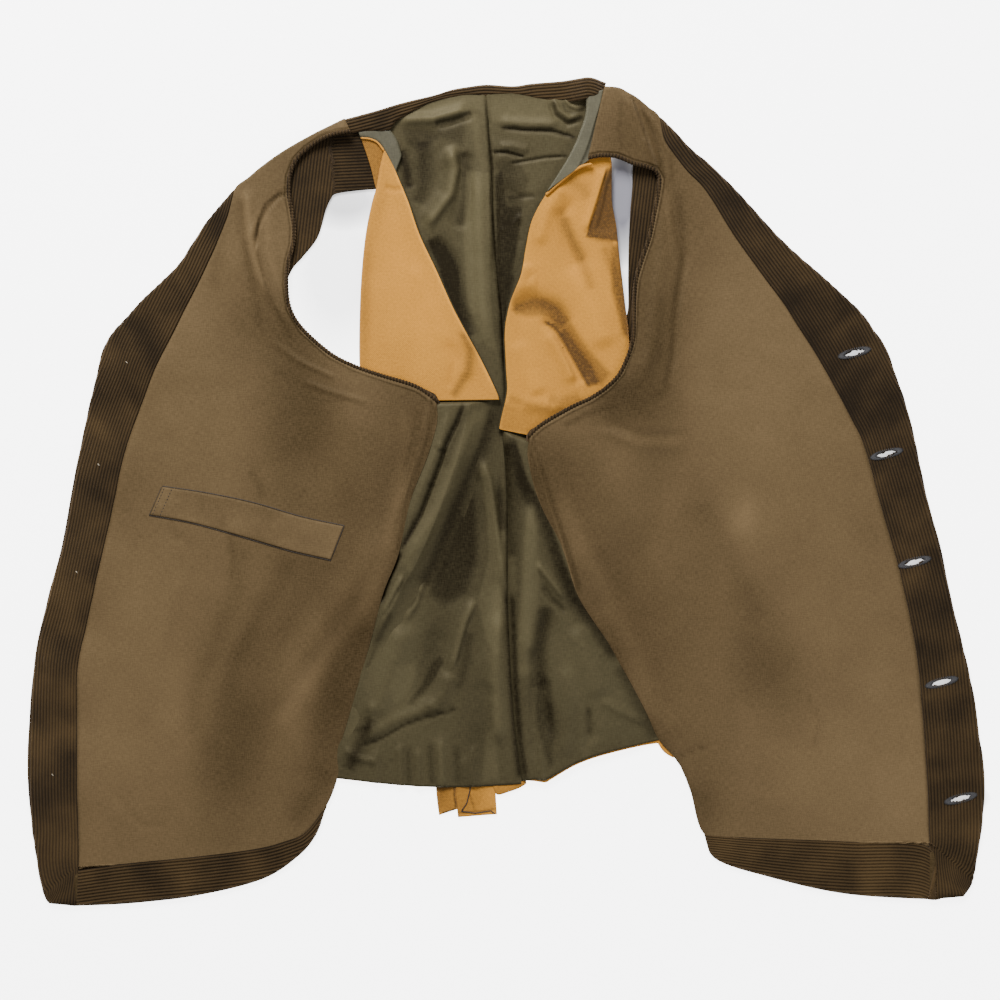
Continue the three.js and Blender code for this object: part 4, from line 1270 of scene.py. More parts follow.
def effect(name, inputs, outputs):
    """A shader node group with named float or vector inputs, and float outputs."""
    group = bpy.data.node_groups.new(name, "ShaderNodeTree")
    for label, value in inputs.items():
        kind = "NodeSocketVector" if value is None else "NodeSocketFloat"
        socket = group.interface.new_socket(label, in_out="INPUT", socket_type=kind)
        if value is not None:
            socket.default_value = value
    for label in outputs:
        group.interface.new_socket(label, in_out="OUTPUT", socket_type="NodeSocketFloat")
    given = group.nodes.new("NodeGroupInput")
    result = group.nodes.new("NodeGroupOutput")
    return group, NodeTree(group), given.outputs, result.inputs


def build_thread_grain():
    """Woven threads: fine streaks both ways, with slubs. Height and Tone go from 0 to 1."""
    group, nodes, given, result = effect(
        "thread_grain", {"Cloth": None, "Thread": 0.0009, "Slub": 9.0}, ["Height", "Tone"]
    )
    fine = nodes.math("DIVIDE", 1.0, given["Thread"])
    streaks = []
    for across, along in (("X", "Y"), ("Y", "X")):
        split = nodes.add("SeparateXYZ", {0: given["Cloth"]})
        squeezed = nodes.math("DIVIDE", split.outputs[along], given["Slub"])
        join = nodes.add("CombineXYZ", {across: split.outputs[across], along: squeezed})
        noise = nodes.add("TexNoise", {"Vector": join.outputs[0], "Scale": fine, "Detail": 2.0})
        streaks.append(noise.outputs[0])
    both = nodes.math("MULTIPLY", nodes.math("ADD", *streaks), 0.5)
    nodes.tree.links.new(both, result["Height"])
    spread = nodes.add("MapRange", {"Value": both, "From Min": 0.32, "From Max": 0.68})
    nodes.tree.links.new(spread.outputs[0], result["Tone"])
    return group


def build_wear():
    """Soft patches of fading and rubbing, as a mask from 0 to 1."""
    group, nodes, given, result = effect(
        "cloth_wear", {"Place": None, "Size": 0.05, "Contrast": 1.0}, ["Mask"]
    )
    scale = nodes.math("DIVIDE", 1.0, given["Size"])
    noise = nodes.add(
        "TexNoise", {"Vector": given["Place"], "Scale": scale, "Detail": 5.0, "Roughness": 0.6}
    )
    centred = nodes.math("SUBTRACT", noise.outputs[0], 0.5)
    mask = nodes.math("ADD", nodes.math("MULTIPLY", centred, given["Contrast"]), 0.5, clamp=True)
    nodes.tree.links.new(mask, result["Mask"])
    return group


def build_ribs(kind):
    """Rounded ribs across the cloth's first direction, as heights from 0 to 1."""
    group, nodes, given, result = effect(
        kind, {"Cloth": None, "Pitch": 0.0025, "Slant": 0.0, "Wander": 0.0002}, ["Height"]
    )
    split = nodes.add("SeparateXYZ", {0: given["Cloth"]})
    noise = nodes.add("TexNoise", {"Vector": given["Cloth"], "Scale": 60.0, "Detail": 1.0})
    wander = nodes.math("MULTIPLY", nodes.math("SUBTRACT", noise.outputs[0], 0.5), given["Wander"])
    slanted = nodes.math("MULTIPLY", split.outputs["Y"], given["Slant"])
    across = nodes.math("ADD", nodes.math("ADD", split.outputs["X"], slanted), wander)
    turns = nodes.math("MULTIPLY", nodes.math("DIVIDE", across, given["Pitch"]), math.pi)
    height = nodes.math("ABSOLUTE", nodes.math("SINE", turns))
    nodes.tree.links.new(height, result["Height"])
    return group


class Finishes:
    """The garment's materials, built once and looked up by name."""

    def __init__(self):
        self.grain = build_thread_grain()
        self.wear = build_wear()
        self.ribs = build_ribs("ribs")
        self.made = {}

    def get(self, name):
        if name not in self.made:
            self.made[name] = getattr(self, name)()
        return self.made[name]

    def start(self, name, roughness, shader=None):
        material = bpy.data.materials.new(name)
        material.use_nodes = True
        material.node_tree.nodes.clear()
        nodes = NodeTree(material.node_tree)
        surface = nodes.add("BsdfPrincipled", {"Roughness": roughness, **(shader or {})})
        nodes.add("OutputMaterial", {"Surface": surface.outputs[0]})
        cloth = nodes.add("UVMap", uv_map="cloth").outputs[0]
        place = nodes.add("TexCoord").outputs["Object"]
        return material, nodes, surface, cloth, place

    def group(self, nodes, tree, inputs):
        return nodes.add("Group", inputs, node_tree=tree).outputs

    def tone_level(self, nodes, shares, parts):
        """The parts times their shares, with the tone painted on the piece, mostly shade and highlights,
        from 0 to 1.
        """
        painted = nodes.add("Attribute", attribute_name="tone", attribute_type="GEOMETRY")
        level = shares["start"]
        for name, value in {**parts, "painted": painted.outputs["Fac"]}.items():
            level = nodes.math("ADD", level, nodes.math("MULTIPLY", value, shares[name]))
        return nodes.add("Clamp", {"Value": level}).outputs[0]

    def finish(self, nodes, surface, colour, height, strength, distance):
        bump = nodes.add("Bump", {"Height": height, "Strength": strength, "Distance": distance})
        nodes.tree.links.new(colour, surface.inputs["Base Color"])
        nodes.tree.links.new(bump.outputs[0], surface.inputs["Normal"])

    def woven(self, name, dark, light, roughness, slub, bump, shader):
        """A plain or satin cloth whose tone follows the piece's own tone attribute."""
        material, nodes, surface, cloth, place = self.start(name, roughness, shader)
        grain = self.group(nodes, self.grain, {"Cloth": cloth, "Thread": 0.0008, "Slub": slub})
        patches = self.group(nodes, self.wear, {"Place": place, "Size": 0.06, "Contrast": 1.6})
        level = self.tone_level(
            nodes, WOVEN_TONE, {"grain": grain["Tone"], "wear": patches["Mask"]}
        )
        colour = nodes.mix(level, dark, light)
        self.finish(nodes, surface, colour, grain["Height"], bump, 0.0004)
        return material

    def sateen(self):
        colours = bpy.context.scene.waistcoat_colours
        return self.woven(
            "brown_sateen", SATEEN_DARK, shade(colours.front_lining, SATEEN_LIGHT_SHARE), 0.62,
            5.0, 0.35,
            {
                "Sheen Weight": 0.05, "Sheen Roughness": 0.5, "Sheen Tint": (0.9, 0.65, 0.35, 1),
                "Specular IOR Level": 0.15, "Specular Tint": (1.0, 0.85, 0.6, 1),
            },
        )

    def satin(self):
        colours = bpy.context.scene.waistcoat_colours
        return self.woven(
            "olive_satin", SATIN_DARK, shade(colours.back_lining, SATIN_LIGHT_SHARE), 0.55,
            6.0, 0.25, {"Specular IOR Level": 0.15, "Specular Tint": (1.0, 0.87, 0.6, 1)},
        )

    # The satin as it looks turned to catch the light: painted sheen.
    def sheen_lit_satin(self):
        return self.woven(
            "sheen_lit_satin", SHEEN_LIT_SATIN_DARK, SHEEN_LIT_SATIN_LIGHT, 0.5,
            6.0, 0.25, {"Specular IOR Level": 0.2},
        )

    def twill(self):
        colours = bpy.context.scene.waistcoat_colours
        material, nodes, surface, cloth, place = self.start(
            "tan_twill", 0.9, {"Sheen Weight": 0.05, "Specular IOR Level": 0.1}
        )
        ribs = self.group(
            nodes, self.ribs, {"Cloth": cloth, "Pitch": 0.0016, "Slant": 1.0, "Wander": 0.0008}
        )
        grain = self.group(nodes, self.grain, {"Cloth": cloth, "Thread": 0.0014, "Slub": 1.6})
        patches = self.group(nodes, self.wear, {"Place": place, "Size": 0.05, "Contrast": 1.4})
        parts = {"ribs": ribs["Height"], "grain": grain["Tone"], "wear": patches["Mask"]}
        level = self.tone_level(nodes, TWILL_TONE, parts)
        colour = nodes.mix(level, TWILL_DARK, shade(colours.back_outside, TWILL_LIGHT_SHARE))
        height = nodes.math("ADD", nodes.math("MULTIPLY", ribs["Height"], 0.6), grain["Height"])
        self.finish(nodes, surface, colour, height, 0.45, 0.0004)
        return material

    def corduroy(self):
        sizes = bpy.context.scene.waistcoat_sizes
        colours = bpy.context.scene.waistcoat_colours
        material, nodes, surface, cloth, place = self.start(
            "brown_corduroy", 0.95,
            {
                "Sheen Weight": 0.12, "Sheen Roughness": 0.6, "Sheen Tint": (0.8, 0.55, 0.35, 1),
                "Specular IOR Level": 0.1,
            },
        )
        ribs = self.group(
            nodes, self.ribs, {"Cloth": cloth, "Pitch": sizes.wale_pitch, "Wander": 0.0003}
        )
        grain = self.group(nodes, self.grain, {"Cloth": cloth, "Thread": 0.0007, "Slub": 2.5})
        patches = self.group(nodes, self.wear, {"Place": place, "Size": 0.03, "Contrast": 1.8})
        # Wale crests are lighter and grooves darker: painted highlight and painted shade on the wales.
        crest = nodes.math("POWER", ribs["Height"], 1.4)
        parts = {"ribs": crest, "grain": grain["Tone"], "wear": patches["Mask"]}
        level = self.tone_level(nodes, CORDUROY_TONE, parts)
        dark, light = (shade(colours.corduroy, share) for share in CORDUROY_SHARES)
        colour = nodes.mix(level, dark, light)
        height = nodes.math("ADD", ribs["Height"], nodes.math("MULTIPLY", grain["Height"], 0.35))
        self.finish(nodes, surface, colour, height, 0.8, 0.0007)
        return material

    def thread(self):
        return self.fibre("dark_thread", DARK_THREAD)

    def brown_thread(self):
        return self.fibre("brown_thread", BROWN_THREAD)

    def pale_thread(self):
        return self.fibre("pale_thread", PALE_THREAD)

    def fibre(self, name, colour):
        material, nodes, surface, _, place = self.start(name, 0.7, {"Sheen Weight": 0.05})
        grain = self.group(nodes, self.grain, {"Cloth": place, "Thread": 0.0004, "Slub": 3.0})
        mixed = nodes.mix(grain["Tone"], shade(colour, 0.7), shade(colour, 1.3))
        self.finish(nodes, surface, mixed, grain["Height"], 0.4, 0.0003)
        return material

    def button(self):
        material, nodes, surface, _, place = self.start("horn_button", 0.38, {"Coat Weight": 0.2})
        patches = self.group(nodes, self.wear, {"Place": place, "Size": 0.004, "Contrast": 2.2})
        colour = nodes.mix(patches["Mask"], HORN_DARK, HORN_LIGHT)
        self.finish(nodes, surface, colour, patches["Mask"], 0.15, 0.0003)
        return material


def shade(colour, share):
    return (*(min(c * share, 1.0) for c in colour[:3]), 1.0)


finishes = None


def table_cells(table, per_row):
    return (len(table) - 1) * per_row


def wale_relief(across_mm, height=0.22):
    pitch = bpy.context.scene.waistcoat_sizes.wale_pitch / MM
    return height * np.abs(np.sin(math.pi * across_mm / pitch))


def front_ground(points, side, ease=0.5):
    """Height of what the fronts lie on, with their creases; troughs stay clear of the table."""
    table = RIGHT_FRONT_CREASES if side == "right" else LEFT_FRONT_CREASES
    ground = over_layers(points) + creased(points, table) + settled(points, 11, 0.5)
    trough = TROUGH_DEPTH * (np.exp(np.minimum(ground, 0) / TROUGH_DEPTH) - 1)
    return np.where(ground < 0, trough, ground) + ease


def clear_of_buttonholes(points, room=0.0):
    """Points with those inside a buttonhole moved out to its edge, and which ones they are."""
    moved = points.copy()
    cut = np.zeros(len(points), bool)
    cos, sin = math.cos(BUTTONHOLE_TILT), math.sin(BUTTONHOLE_TILT)
    for hole in np.array(BUTTONHOLES, float):
        offset = points - hole
        along = offset @ (cos, -sin) / (BUTTONHOLE_LENGTH / 2 + room)
        across = offset @ (sin, cos) / (BUTTONHOLE_WIDTH / 2 + room)
        reach = np.maximum(np.hypot(along, across), 0.05)
        within = reach < 1
        moved[within] = hole + offset[within] / reach[within][:, None]
        cut |= within
    return moved, cut


def closer_rows(table, first, second, share):
    """A change of v that sets the rows of a grid closer together beside the buttonholes."""
    v = np.linspace(0, 1, 2000)
    middle = ruled(table, first, second, np.full(len(v), share), v)[0]
    density = np.ones(len(v))
    for hole in np.array(BUTTONHOLES, float):
        nearest = v[np.argmin(np.hypot(*(middle - hole).T))]
        density += 4 * bell(v - nearest, 0.012)
    total = np.cumsum(density)
    return lambda spot: np.interp(spot, (total - total[0]) / (total[-1] - total[0]), v)


def rows_between(table, first, last):
    return first / (len(table) - 1), last / (len(table) - 1)


def declare(node):
    """Hides the model piece that a sheet of cloth stands for."""
    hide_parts(node)


class WAISTCOAT_OT_fronts(bpy.types.Operator):
    """Build the corduroy fronts with their linings, and the straps turned under"""

    bl_idname = "waistcoat.fronts"
    bl_label = "Fronts and linings"

    def execute(self, context):
        for side, spec in FRONTS.items():
            self.outer(side, spec["table"])
            self.lining(side, spec)
        self.strap("right", RIGHT_STRAP)
        self.strap("left", LEFT_STRAP_SEEN)
        self.armhole_edges()
        return {"FINISHED"}

    def outer(self, side, table):
        placed = closer_rows(table, 0, 6, 0.06) if side == "left" else lambda v: v

        def shape(u, v):
            v = placed(v)
            points, _ = ruled(table, 0, 6, u, v)
            heights = np.maximum(front_ground(points, side, 0), -0.2) + CORDUROY
            cut = clear_of_buttonholes(points, 6)[1] & (side == "left")
            return points, heights, points * SQUARE_MM, np.zeros(len(u)), cut

        piece = make_sheet(
            f"front_cloth_{side}", finishes.get("corduroy"), (64, table_cells(table, 3)), shape, 1.1
        )
        declare(f"front_outer_{side}")

    def lining(self, side, spec):
        table = spec["table"]
        armhole = rows_between(table, 0, spec["armhole_end"])

        def shape(u, v):
            u = 1 - (1 - u) ** 1.6
            _, wide = ruled(table, 2, 4, u, v)
            rim = ARMHOLE_RIM * (1 - smooth_step((v - armhole[1]) * 60))
            share = u * (1 - rim / np.maximum(wide, 8))
            points, wide = ruled(table, 2, 4, share, v)
            heights = front_ground(points, side) + FRONT_LINING_TOP
            edge = from_sides(u, wide)
            heights -= 0.45 * bell(edge, 1.2)
            tones = toned(points, FRONT_SHEEN_AND_SHADE, FRONT_SHADE_AND_HIGHLIGHT_LINES[side], FRONT_TONE_AREAS[side])
            tones *= 0.9
            seam = to_polyline(points, columns(table[:spec["armhole_end"] + 1], 6))[0]
            tones += 0.3 * bell(seam - 3.2, 1.2) - 0.5 * bell(seam - 5.4, 0.9)
            return points, heights, points * SQUARE_MM, tones

        piece = make_sheet(
            f"front_lining_cloth_{side}", finishes.get("sateen"), (104, table_cells(table, 6)), shape
        )
        declare(f"front_lining_{side}")

    def strap(self, side, table):
        def shape(u, v):
            points, _ = ruled(table, 0, 2, u, v)
            heights = np.full(len(u), 1.6) + settled(points, 5, 0.25)
            x, y = points.T
            turned = (side == "right") & (x > TURN_X + TURN_SLOPE * (y - TURN_Y))
            across = np.where(turned, y + 0.05 * x, x + 0.12 * y)
            along = np.where(turned, x, y)
            cloth = np.column_stack([across, along]) * SQUARE_MM
            # The turned part is darker: painted shade inside the hollow of the turn.
            return points, heights, cloth, np.where(turned, -0.45, -0.1)

        piece = make_sheet(f"strap_turned_{side}", finishes.get("corduroy"), (60, 70), shape, 1.1)
        declare(f"front_outer_{side}")

    def armhole_edges(self):
        for side, spec in FRONTS.items():
            table = spec["table"][:spec["armhole_end"] + 1]
            v = np.linspace(0, 1, 300)
            line = spline(columns(table, 6), v) + direction(table, 6, 0, v) * 1.6
            height = front_ground(line, side) + FRONT_LINING_TOP - 0.7
            bead = make_cord(
                f"armhole_edge_{side}", finishes.get("corduroy"), np.column_stack([line, height]), 1.5, 0.2
            )


class WAISTCOAT_OT_facings(bpy.types.Operator):
    """Build the corduroy facings of the front edges and hems, and the neck band"""

    bl_idname = "waistcoat.facings"
    bl_label = "Facings and neck band"

    def execute(self, context):
        for side, spec in FRONTS.items():
            self.front_facing(side, spec)
            self.hem_facing(side, spec)
        self.neck_band()
        return {"FINISHED"}

    def front_facing(self, side, spec):
        table = spec["table"][spec["facing_from"]:]
        placed = closer_rows(table, 2, 0, 0.6) if side == "left" else lambda v: v

        def shape(u, v):
            v = placed(v)
            points, wide = ruled(table, 2, 0, u, v)
            across = u * wide * SQUARE_MM
            ribs = wale_relief(across)
            edge = (1 - u) * wide * SQUARE_MM
            outward = direction(table, 2, 0, v)
            points = points + outward * (u > 0.999)[:, None] * (ribs * 2.4)[:, None]
            along = along_rows(table, 2, v)
            ripple = soft_noise(np.column_stack([across * 0.35, along]), 13, 77)
            heights = front_ground(points, side) + FACING_TOP - 0.2 + ribs + 0.3 * ripple
            heights -= 0.9 * bell(edge, 1.1) + 0.3 * bell(across, 0.8)
            cloth = np.column_stack([across, along * SQUARE_MM])
            tones = settled(points, 31, 0.6) + 0.3 * ripple
            gain, middle, length, level = FACING_FADE[side]
            tones += gain * np.tanh((points[:, 1] - middle) / length) + level
            tones -= 0.9 * bell(across, 0.9)
            if side == "right":
                return points, heights, cloth, tones
            points, cut = clear_of_buttonholes(points)
            return points, heights, cloth, tones, cut

        count, per_row = FACING_CELLS[side]
        piece = make_sheet(
            f"front_facing_cloth_{side}", finishes.get("corduroy"),
            (count, table_cells(table, per_row)), shape, 1.0,
        )
        declare(f"front_facing_{side}")

    def hem_facing(self, side, spec):
        table = spec["table"][spec["hem_from"]:]
        if side == "right":
            table = table[:-1]

        def shape(u, v):
            points, wide = ruled(table, 4, 6, u, v)
            across = u * wide * SQUARE_MM
            edge = (1 - u) * wide * SQUARE_MM
            heights = front_ground(points, side) + FACING_TOP - 0.2 + wale_relief(across)
            heights -= 0.9 * bell(edge, 1.1) + 0.3 * bell(across, 0.8)
            cloth = np.column_stack([across, along_rows(table, 4, v) * SQUARE_MM])
            ripple = soft_noise(np.column_stack([across * 0.35, along_rows(table, 4, v)]), 15, 78)
            tones = settled(points, 37, 0.5) + 0.3 * ripple + HEM_FACING_TONE[side]
            tones -= 0.8 * bell(across, 0.9)
            return points, heights + 0.3 * ripple, cloth, tones

        piece = make_sheet(
            f"hem_facing_cloth_{side}", finishes.get("corduroy"), (90, table_cells(table, 12)), shape, 1.0
        )
        declare(f"hem_facing_{side}")

    def neck_band(self):
        def shape(u, v):
            points, wide = ruled(NECK_BAND, 0, 2, u, v)
            across = u * wide * SQUARE_MM
            edge = from_sides(u, wide)
            lifted = over_layers(points) * smooth_step((points[:, 0] - 560) / 30)
            lifted = np.maximum(lifted, OVER_STRAP * smooth_step((430 - points[:, 0]) / 40))
            heights = lifted + 3.6 + wale_relief(across) + settled(points, 41, 0.9)
            heights -= 2.6 * smooth_step((points[:, 0] - 594) / 10)
            heights -= 1.3 * bell(edge, 1.3)
            cloth = np.column_stack([across, along_rows(NECK_BAND, 0, v) * SQUARE_MM])
            return points, heights, cloth, settled(points, 43, 0.6)

        piece = make_sheet("neck_band_cloth", finishes.get("corduroy"), (36, 180), shape, 1.4)
        declare("neck_band")


def main_back(table, side, lift, name, material, thickness, cells):
    """One half of the main back; lift is the height of its top face when flat."""

    def shape(u, v):
        points, wide = ruled(table, 0, 2, u, v)
        points[:, 1] += value_down(table, 4, v) * np.sin(np.pi * u)
        clear = np.min([distance_to(points, outline) for outline in FLAP_OUTLINES], axis=0)
        free = 0.25 + 0.75 * smooth_step(clear / 14)
        relief = (creased(points, BACK_CREASES) + settled(points, 3, 0.9)) * free * (lift == MAIN_TOP)
        rise = over_layers(points) * smooth_step((points[:, 1] - 650) / 45) if side == "right" else 0
        heights = np.maximum(lift + relief, lift * 0.66) + rise
        seam = u * wide * SQUARE_MM
        if side == "right":
            points[:, 0] -= 4 * smooth_step((points[:, 1] - 700) / 30) * u**6
            points[:, 0] += 2.0 * bell(seam, 2.0)
            heights -= 0.6 * bell(seam, 0.8) * (lift == MAIN_TOP)
        heights -= 0.5 * bell(seam, 0.9) - 0.35 * bell(seam - 2.2, 1.3)
        tucked = smooth_step((points[:, 1] - 585) / 20) if side == "right" else np.zeros(len(u))
        heights -= tucked * (heights - lift * 0.52) * bell(seam, 3.2)
        tones = toned(points, BACK_SHEEN_AND_SHADE, BACK_SHADE_AND_HIGHLIGHT_LINES, BACK_SHADE_AND_HIGHLIGHT_AREAS) * SATIN_CONTRAST
        return points, heights, points * SQUARE_MM, tones

    return make_sheet(name, material, (cells[0], table_cells(table, cells[1])), shape, thickness)


class WAISTCOAT_OT_back(bpy.types.Operator):
    """Build the back: satin lining, twill outside, and the flaps folded over beside the armholes"""

    bl_idname = "waistcoat.back"
    bl_label = "Back"

    def execute(self, context):
        tables = {
            "right": (RIGHT_BACK, RIGHT_SIDE, RIGHT_FLAP_CREASES),
            "left": (LEFT_BACK, LEFT_SIDE, LEFT_FLAP_CREASES),
        }
        for side, (main, strip, creases) in tables.items():
            satin, twill = finishes.get("satin"), finishes.get("twill")
            lining = main_back(
                main, side, MAIN_TOP, f"back_lining_cloth_{side}", satin, 0.8, (90, 12)
            )
            declare(f"back_lining_{side}")
            outer = main_back(main, side, 0.9, f"back_cloth_{side}", twill, 0.3, (36, 5))
            declare(f"back_outer_{side}")
            self.flap(side, creases)
            self.strip(side, strip)
        self.shoulder()
        self.turned_corner()
        self.hem_lip()
        return {"FINISHED"}

    def turned_corner(self):
        """The corner of the back folded over beside the right armhole, with its lining."""

        def corner(table, height, round_edge, tone):
            def shape(u, v):
                points, wide = ruled(table, 0, 2, u, v)
                edge = from_sides(u, wide)
                heights = height - round_edge * bell(edge, 1.4) + settled(points, 81, 0.7)
                return points, heights, points * SQUARE_MM, np.full(len(u), tone)
            return shape

        # The twill corner's darker tone is painted shade: it lies in a hollow beside the strap.
        twill = make_sheet(
            "back_corner_right", finishes.get("twill"), (20, 36), corner(CORNER_TWILL, 3.7, 0.3, -0.5), 1.0
        )
        declare("back_outer_right")
        satin = make_sheet(
            "back_corner_lining_right", finishes.get("sheen_lit_satin"), (20, 40),
            corner(CORNER_SATIN, 5.0, 0.9, 0.1),
        )
        declare("back_lining_right")
        rims = []
        for route, radius in ((CORNER_RIM, 0.8), (SHOULDER_RIM, 1.3)):
            line = spline(route, np.linspace(0, 1, 60))
            rims.append(make_cord("rim", finishes.get("twill"), line, radius))
        piece = joined("back_flap_rims", rims)

    def hem_lip(self):
        """The twill that shows past the lining at the back's hem."""
        for number, (table, tone) in enumerate(HEM_PIECES, 1):
            def shape(u, v, table=table, tone=tone):
                points, wide = ruled(table, 0, 2, u, v)
                heights = 1.6 + settled(points, 91, 0.5) + 0.5 * np.sin(np.pi * u)
                return points, heights, points * SQUARE_MM, np.full(len(u), tone)

            piece = make_sheet(f"back_hem_lip_{number}", finishes.get("twill"), (8, 80), shape, 1.0)
            declare("back_outer_left")

    def flap(self, side, creases):
        seen = FLAPS_SEEN[side]

        def cloth_shape(top, beyond, tones):
            def shape(u, v):
                points, wide = ruled(seen, 0, 2, u, v)
                inward = direction(seen, 0, 2, v)
                points = points + inward * (beyond * smooth_step(u * 3))[:, None]
                folded = np.clip(u * (wide + 4) * SQUARE_MM / 3.2, 0, 1)
                drop = 2.4 * (1 - np.sqrt(1 - (1 - folded) ** 2))
                edge = (1 - u) * wide * SQUARE_MM
                heights = top + creased(points, creases) - drop + settled(points, 21, 0.5)
                heights += 1.2 * smooth_step(1 - edge / 14) * smooth_step(v * 3)
                return points, np.maximum(heights, top - 2.0), points * SQUARE_MM, tones(points)
            return shape

        count, per_row = FLAP_CELLS[side]
        turned = make_sheet(
            f"back_flap_{side}", finishes.get("twill"), (count, table_cells(seen, per_row)),
            cloth_shape(FLAP_TOP, 0.0, self.flap_shade_and_sheen), 1.0,
        )
        declare(f"back_outer_{side}")
        under = make_sheet(
            f"back_flap_lining_{side}", finishes.get("satin"), (24, table_cells(seen, 6)),
            cloth_shape(FLAP_TOP - 1.6, 1.4, lambda points: np.full(len(points), -0.3)),
        )
        declare(f"back_lining_{side}")

    def flap_shade_and_sheen(self, points):
        return toned(points, FLAP_SHEEN_AND_SHADE, FLAP_SHADE_AND_HIGHLIGHT_LINES, FLAP_SHADE_AREAS)

    def strip(self, side, table):
        soft = SIDE_FALL[side]
        creases = {"right": RIGHT_SIDE_CREASES, "left": LEFT_SIDE_CREASES}[side]

        def shape(u, v):
            points, wide = ruled(table, 2, 0, u, v)
            inward = direction(table, 2, 0, v)
            points = points - inward * (3.2 * (1 - smooth_step(u * 7)))[:, None]
            crest = value_down(table, 4, v)
            seam_height = over_layers(points) + FRONT_LINING_TOP - 0.3
            near_seam = 1 - smooth_step(u * wide * SQUARE_MM / 26)
            top = crest + (seam_height - crest) * near_seam
            to_fold = np.clip((1 - u) * wide / np.minimum(soft, wide), 0, 1)
            if side == "left":
                fall = np.sqrt(1 - (1 - to_fold) ** 2)
            else:
                fall = smooth_step(to_fold * 0.5) * 2
            relief = creased(points, creases) + creased(points, BACK_CREASES) * (side == "right") * 0.4
            heights = 1.6 + (top - 1.6 + relief + settled(points, 9, 0.7)) * np.clip(fall, 0, 1)
            tucked = 1 - smooth_step(v * (len(table) - 1) - 1)
            heights -= tucked * np.maximum(heights - 3.0, 0)
            seam = u * wide * SQUARE_MM
            heights -= 0.5 * bell(seam, 0.9)
            tones = toned(points, BACK_SHEEN_AND_SHADE, SIDE_SHADE_AND_HIGHLIGHT_LINES[side], SIDE_SHADE_AND_HIGHLIGHT_AREAS[side])
            tones *= SATIN_CONTRAST
            if side == "left":
                drop = np.interp(u, *np.array(HEM_DROP).T) * smooth_step((v - 0.86) / 0.14)
                points = points + np.column_stack([np.zeros(len(u)), drop])
            return points, heights, points * SQUARE_MM, tones

        cells = (64, table_cells(table, 14))
        piece = make_sheet(f"back_side_{side}", finishes.get("satin"), cells, shape)
        declare(f"back_lining_{side}")

    def shoulder(self):
        def shape(u, v):
            points, wide = ruled(LEFT_SHOULDER, 0, 2, u, v)
            edge = u * wide * SQUARE_MM
            drop = 3.0 * (1 - np.sqrt(np.clip(1 - (1 - np.clip(edge / 3, 0, 1)) ** 2, 0, 1)))
            heights = over_layers(points) + FRONT_LINING_TOP - drop + settled(points, 51, 0.8)
            heights -= 1.1 * smooth_step((u - 0.68) * 8)
            tones = 0.3 + 0.5 * settled(points, 52, 1.0) - 0.5 * bell(u - 0.8, 0.06)
            return points, heights, points * SQUARE_MM, tones

        # The shoulder's pale satin is painted sheen.
        piece = make_sheet("shoulder_lining_left", finishes.get("sheen_lit_satin"), (40, 90), shape)
        declare("back_lining_left")


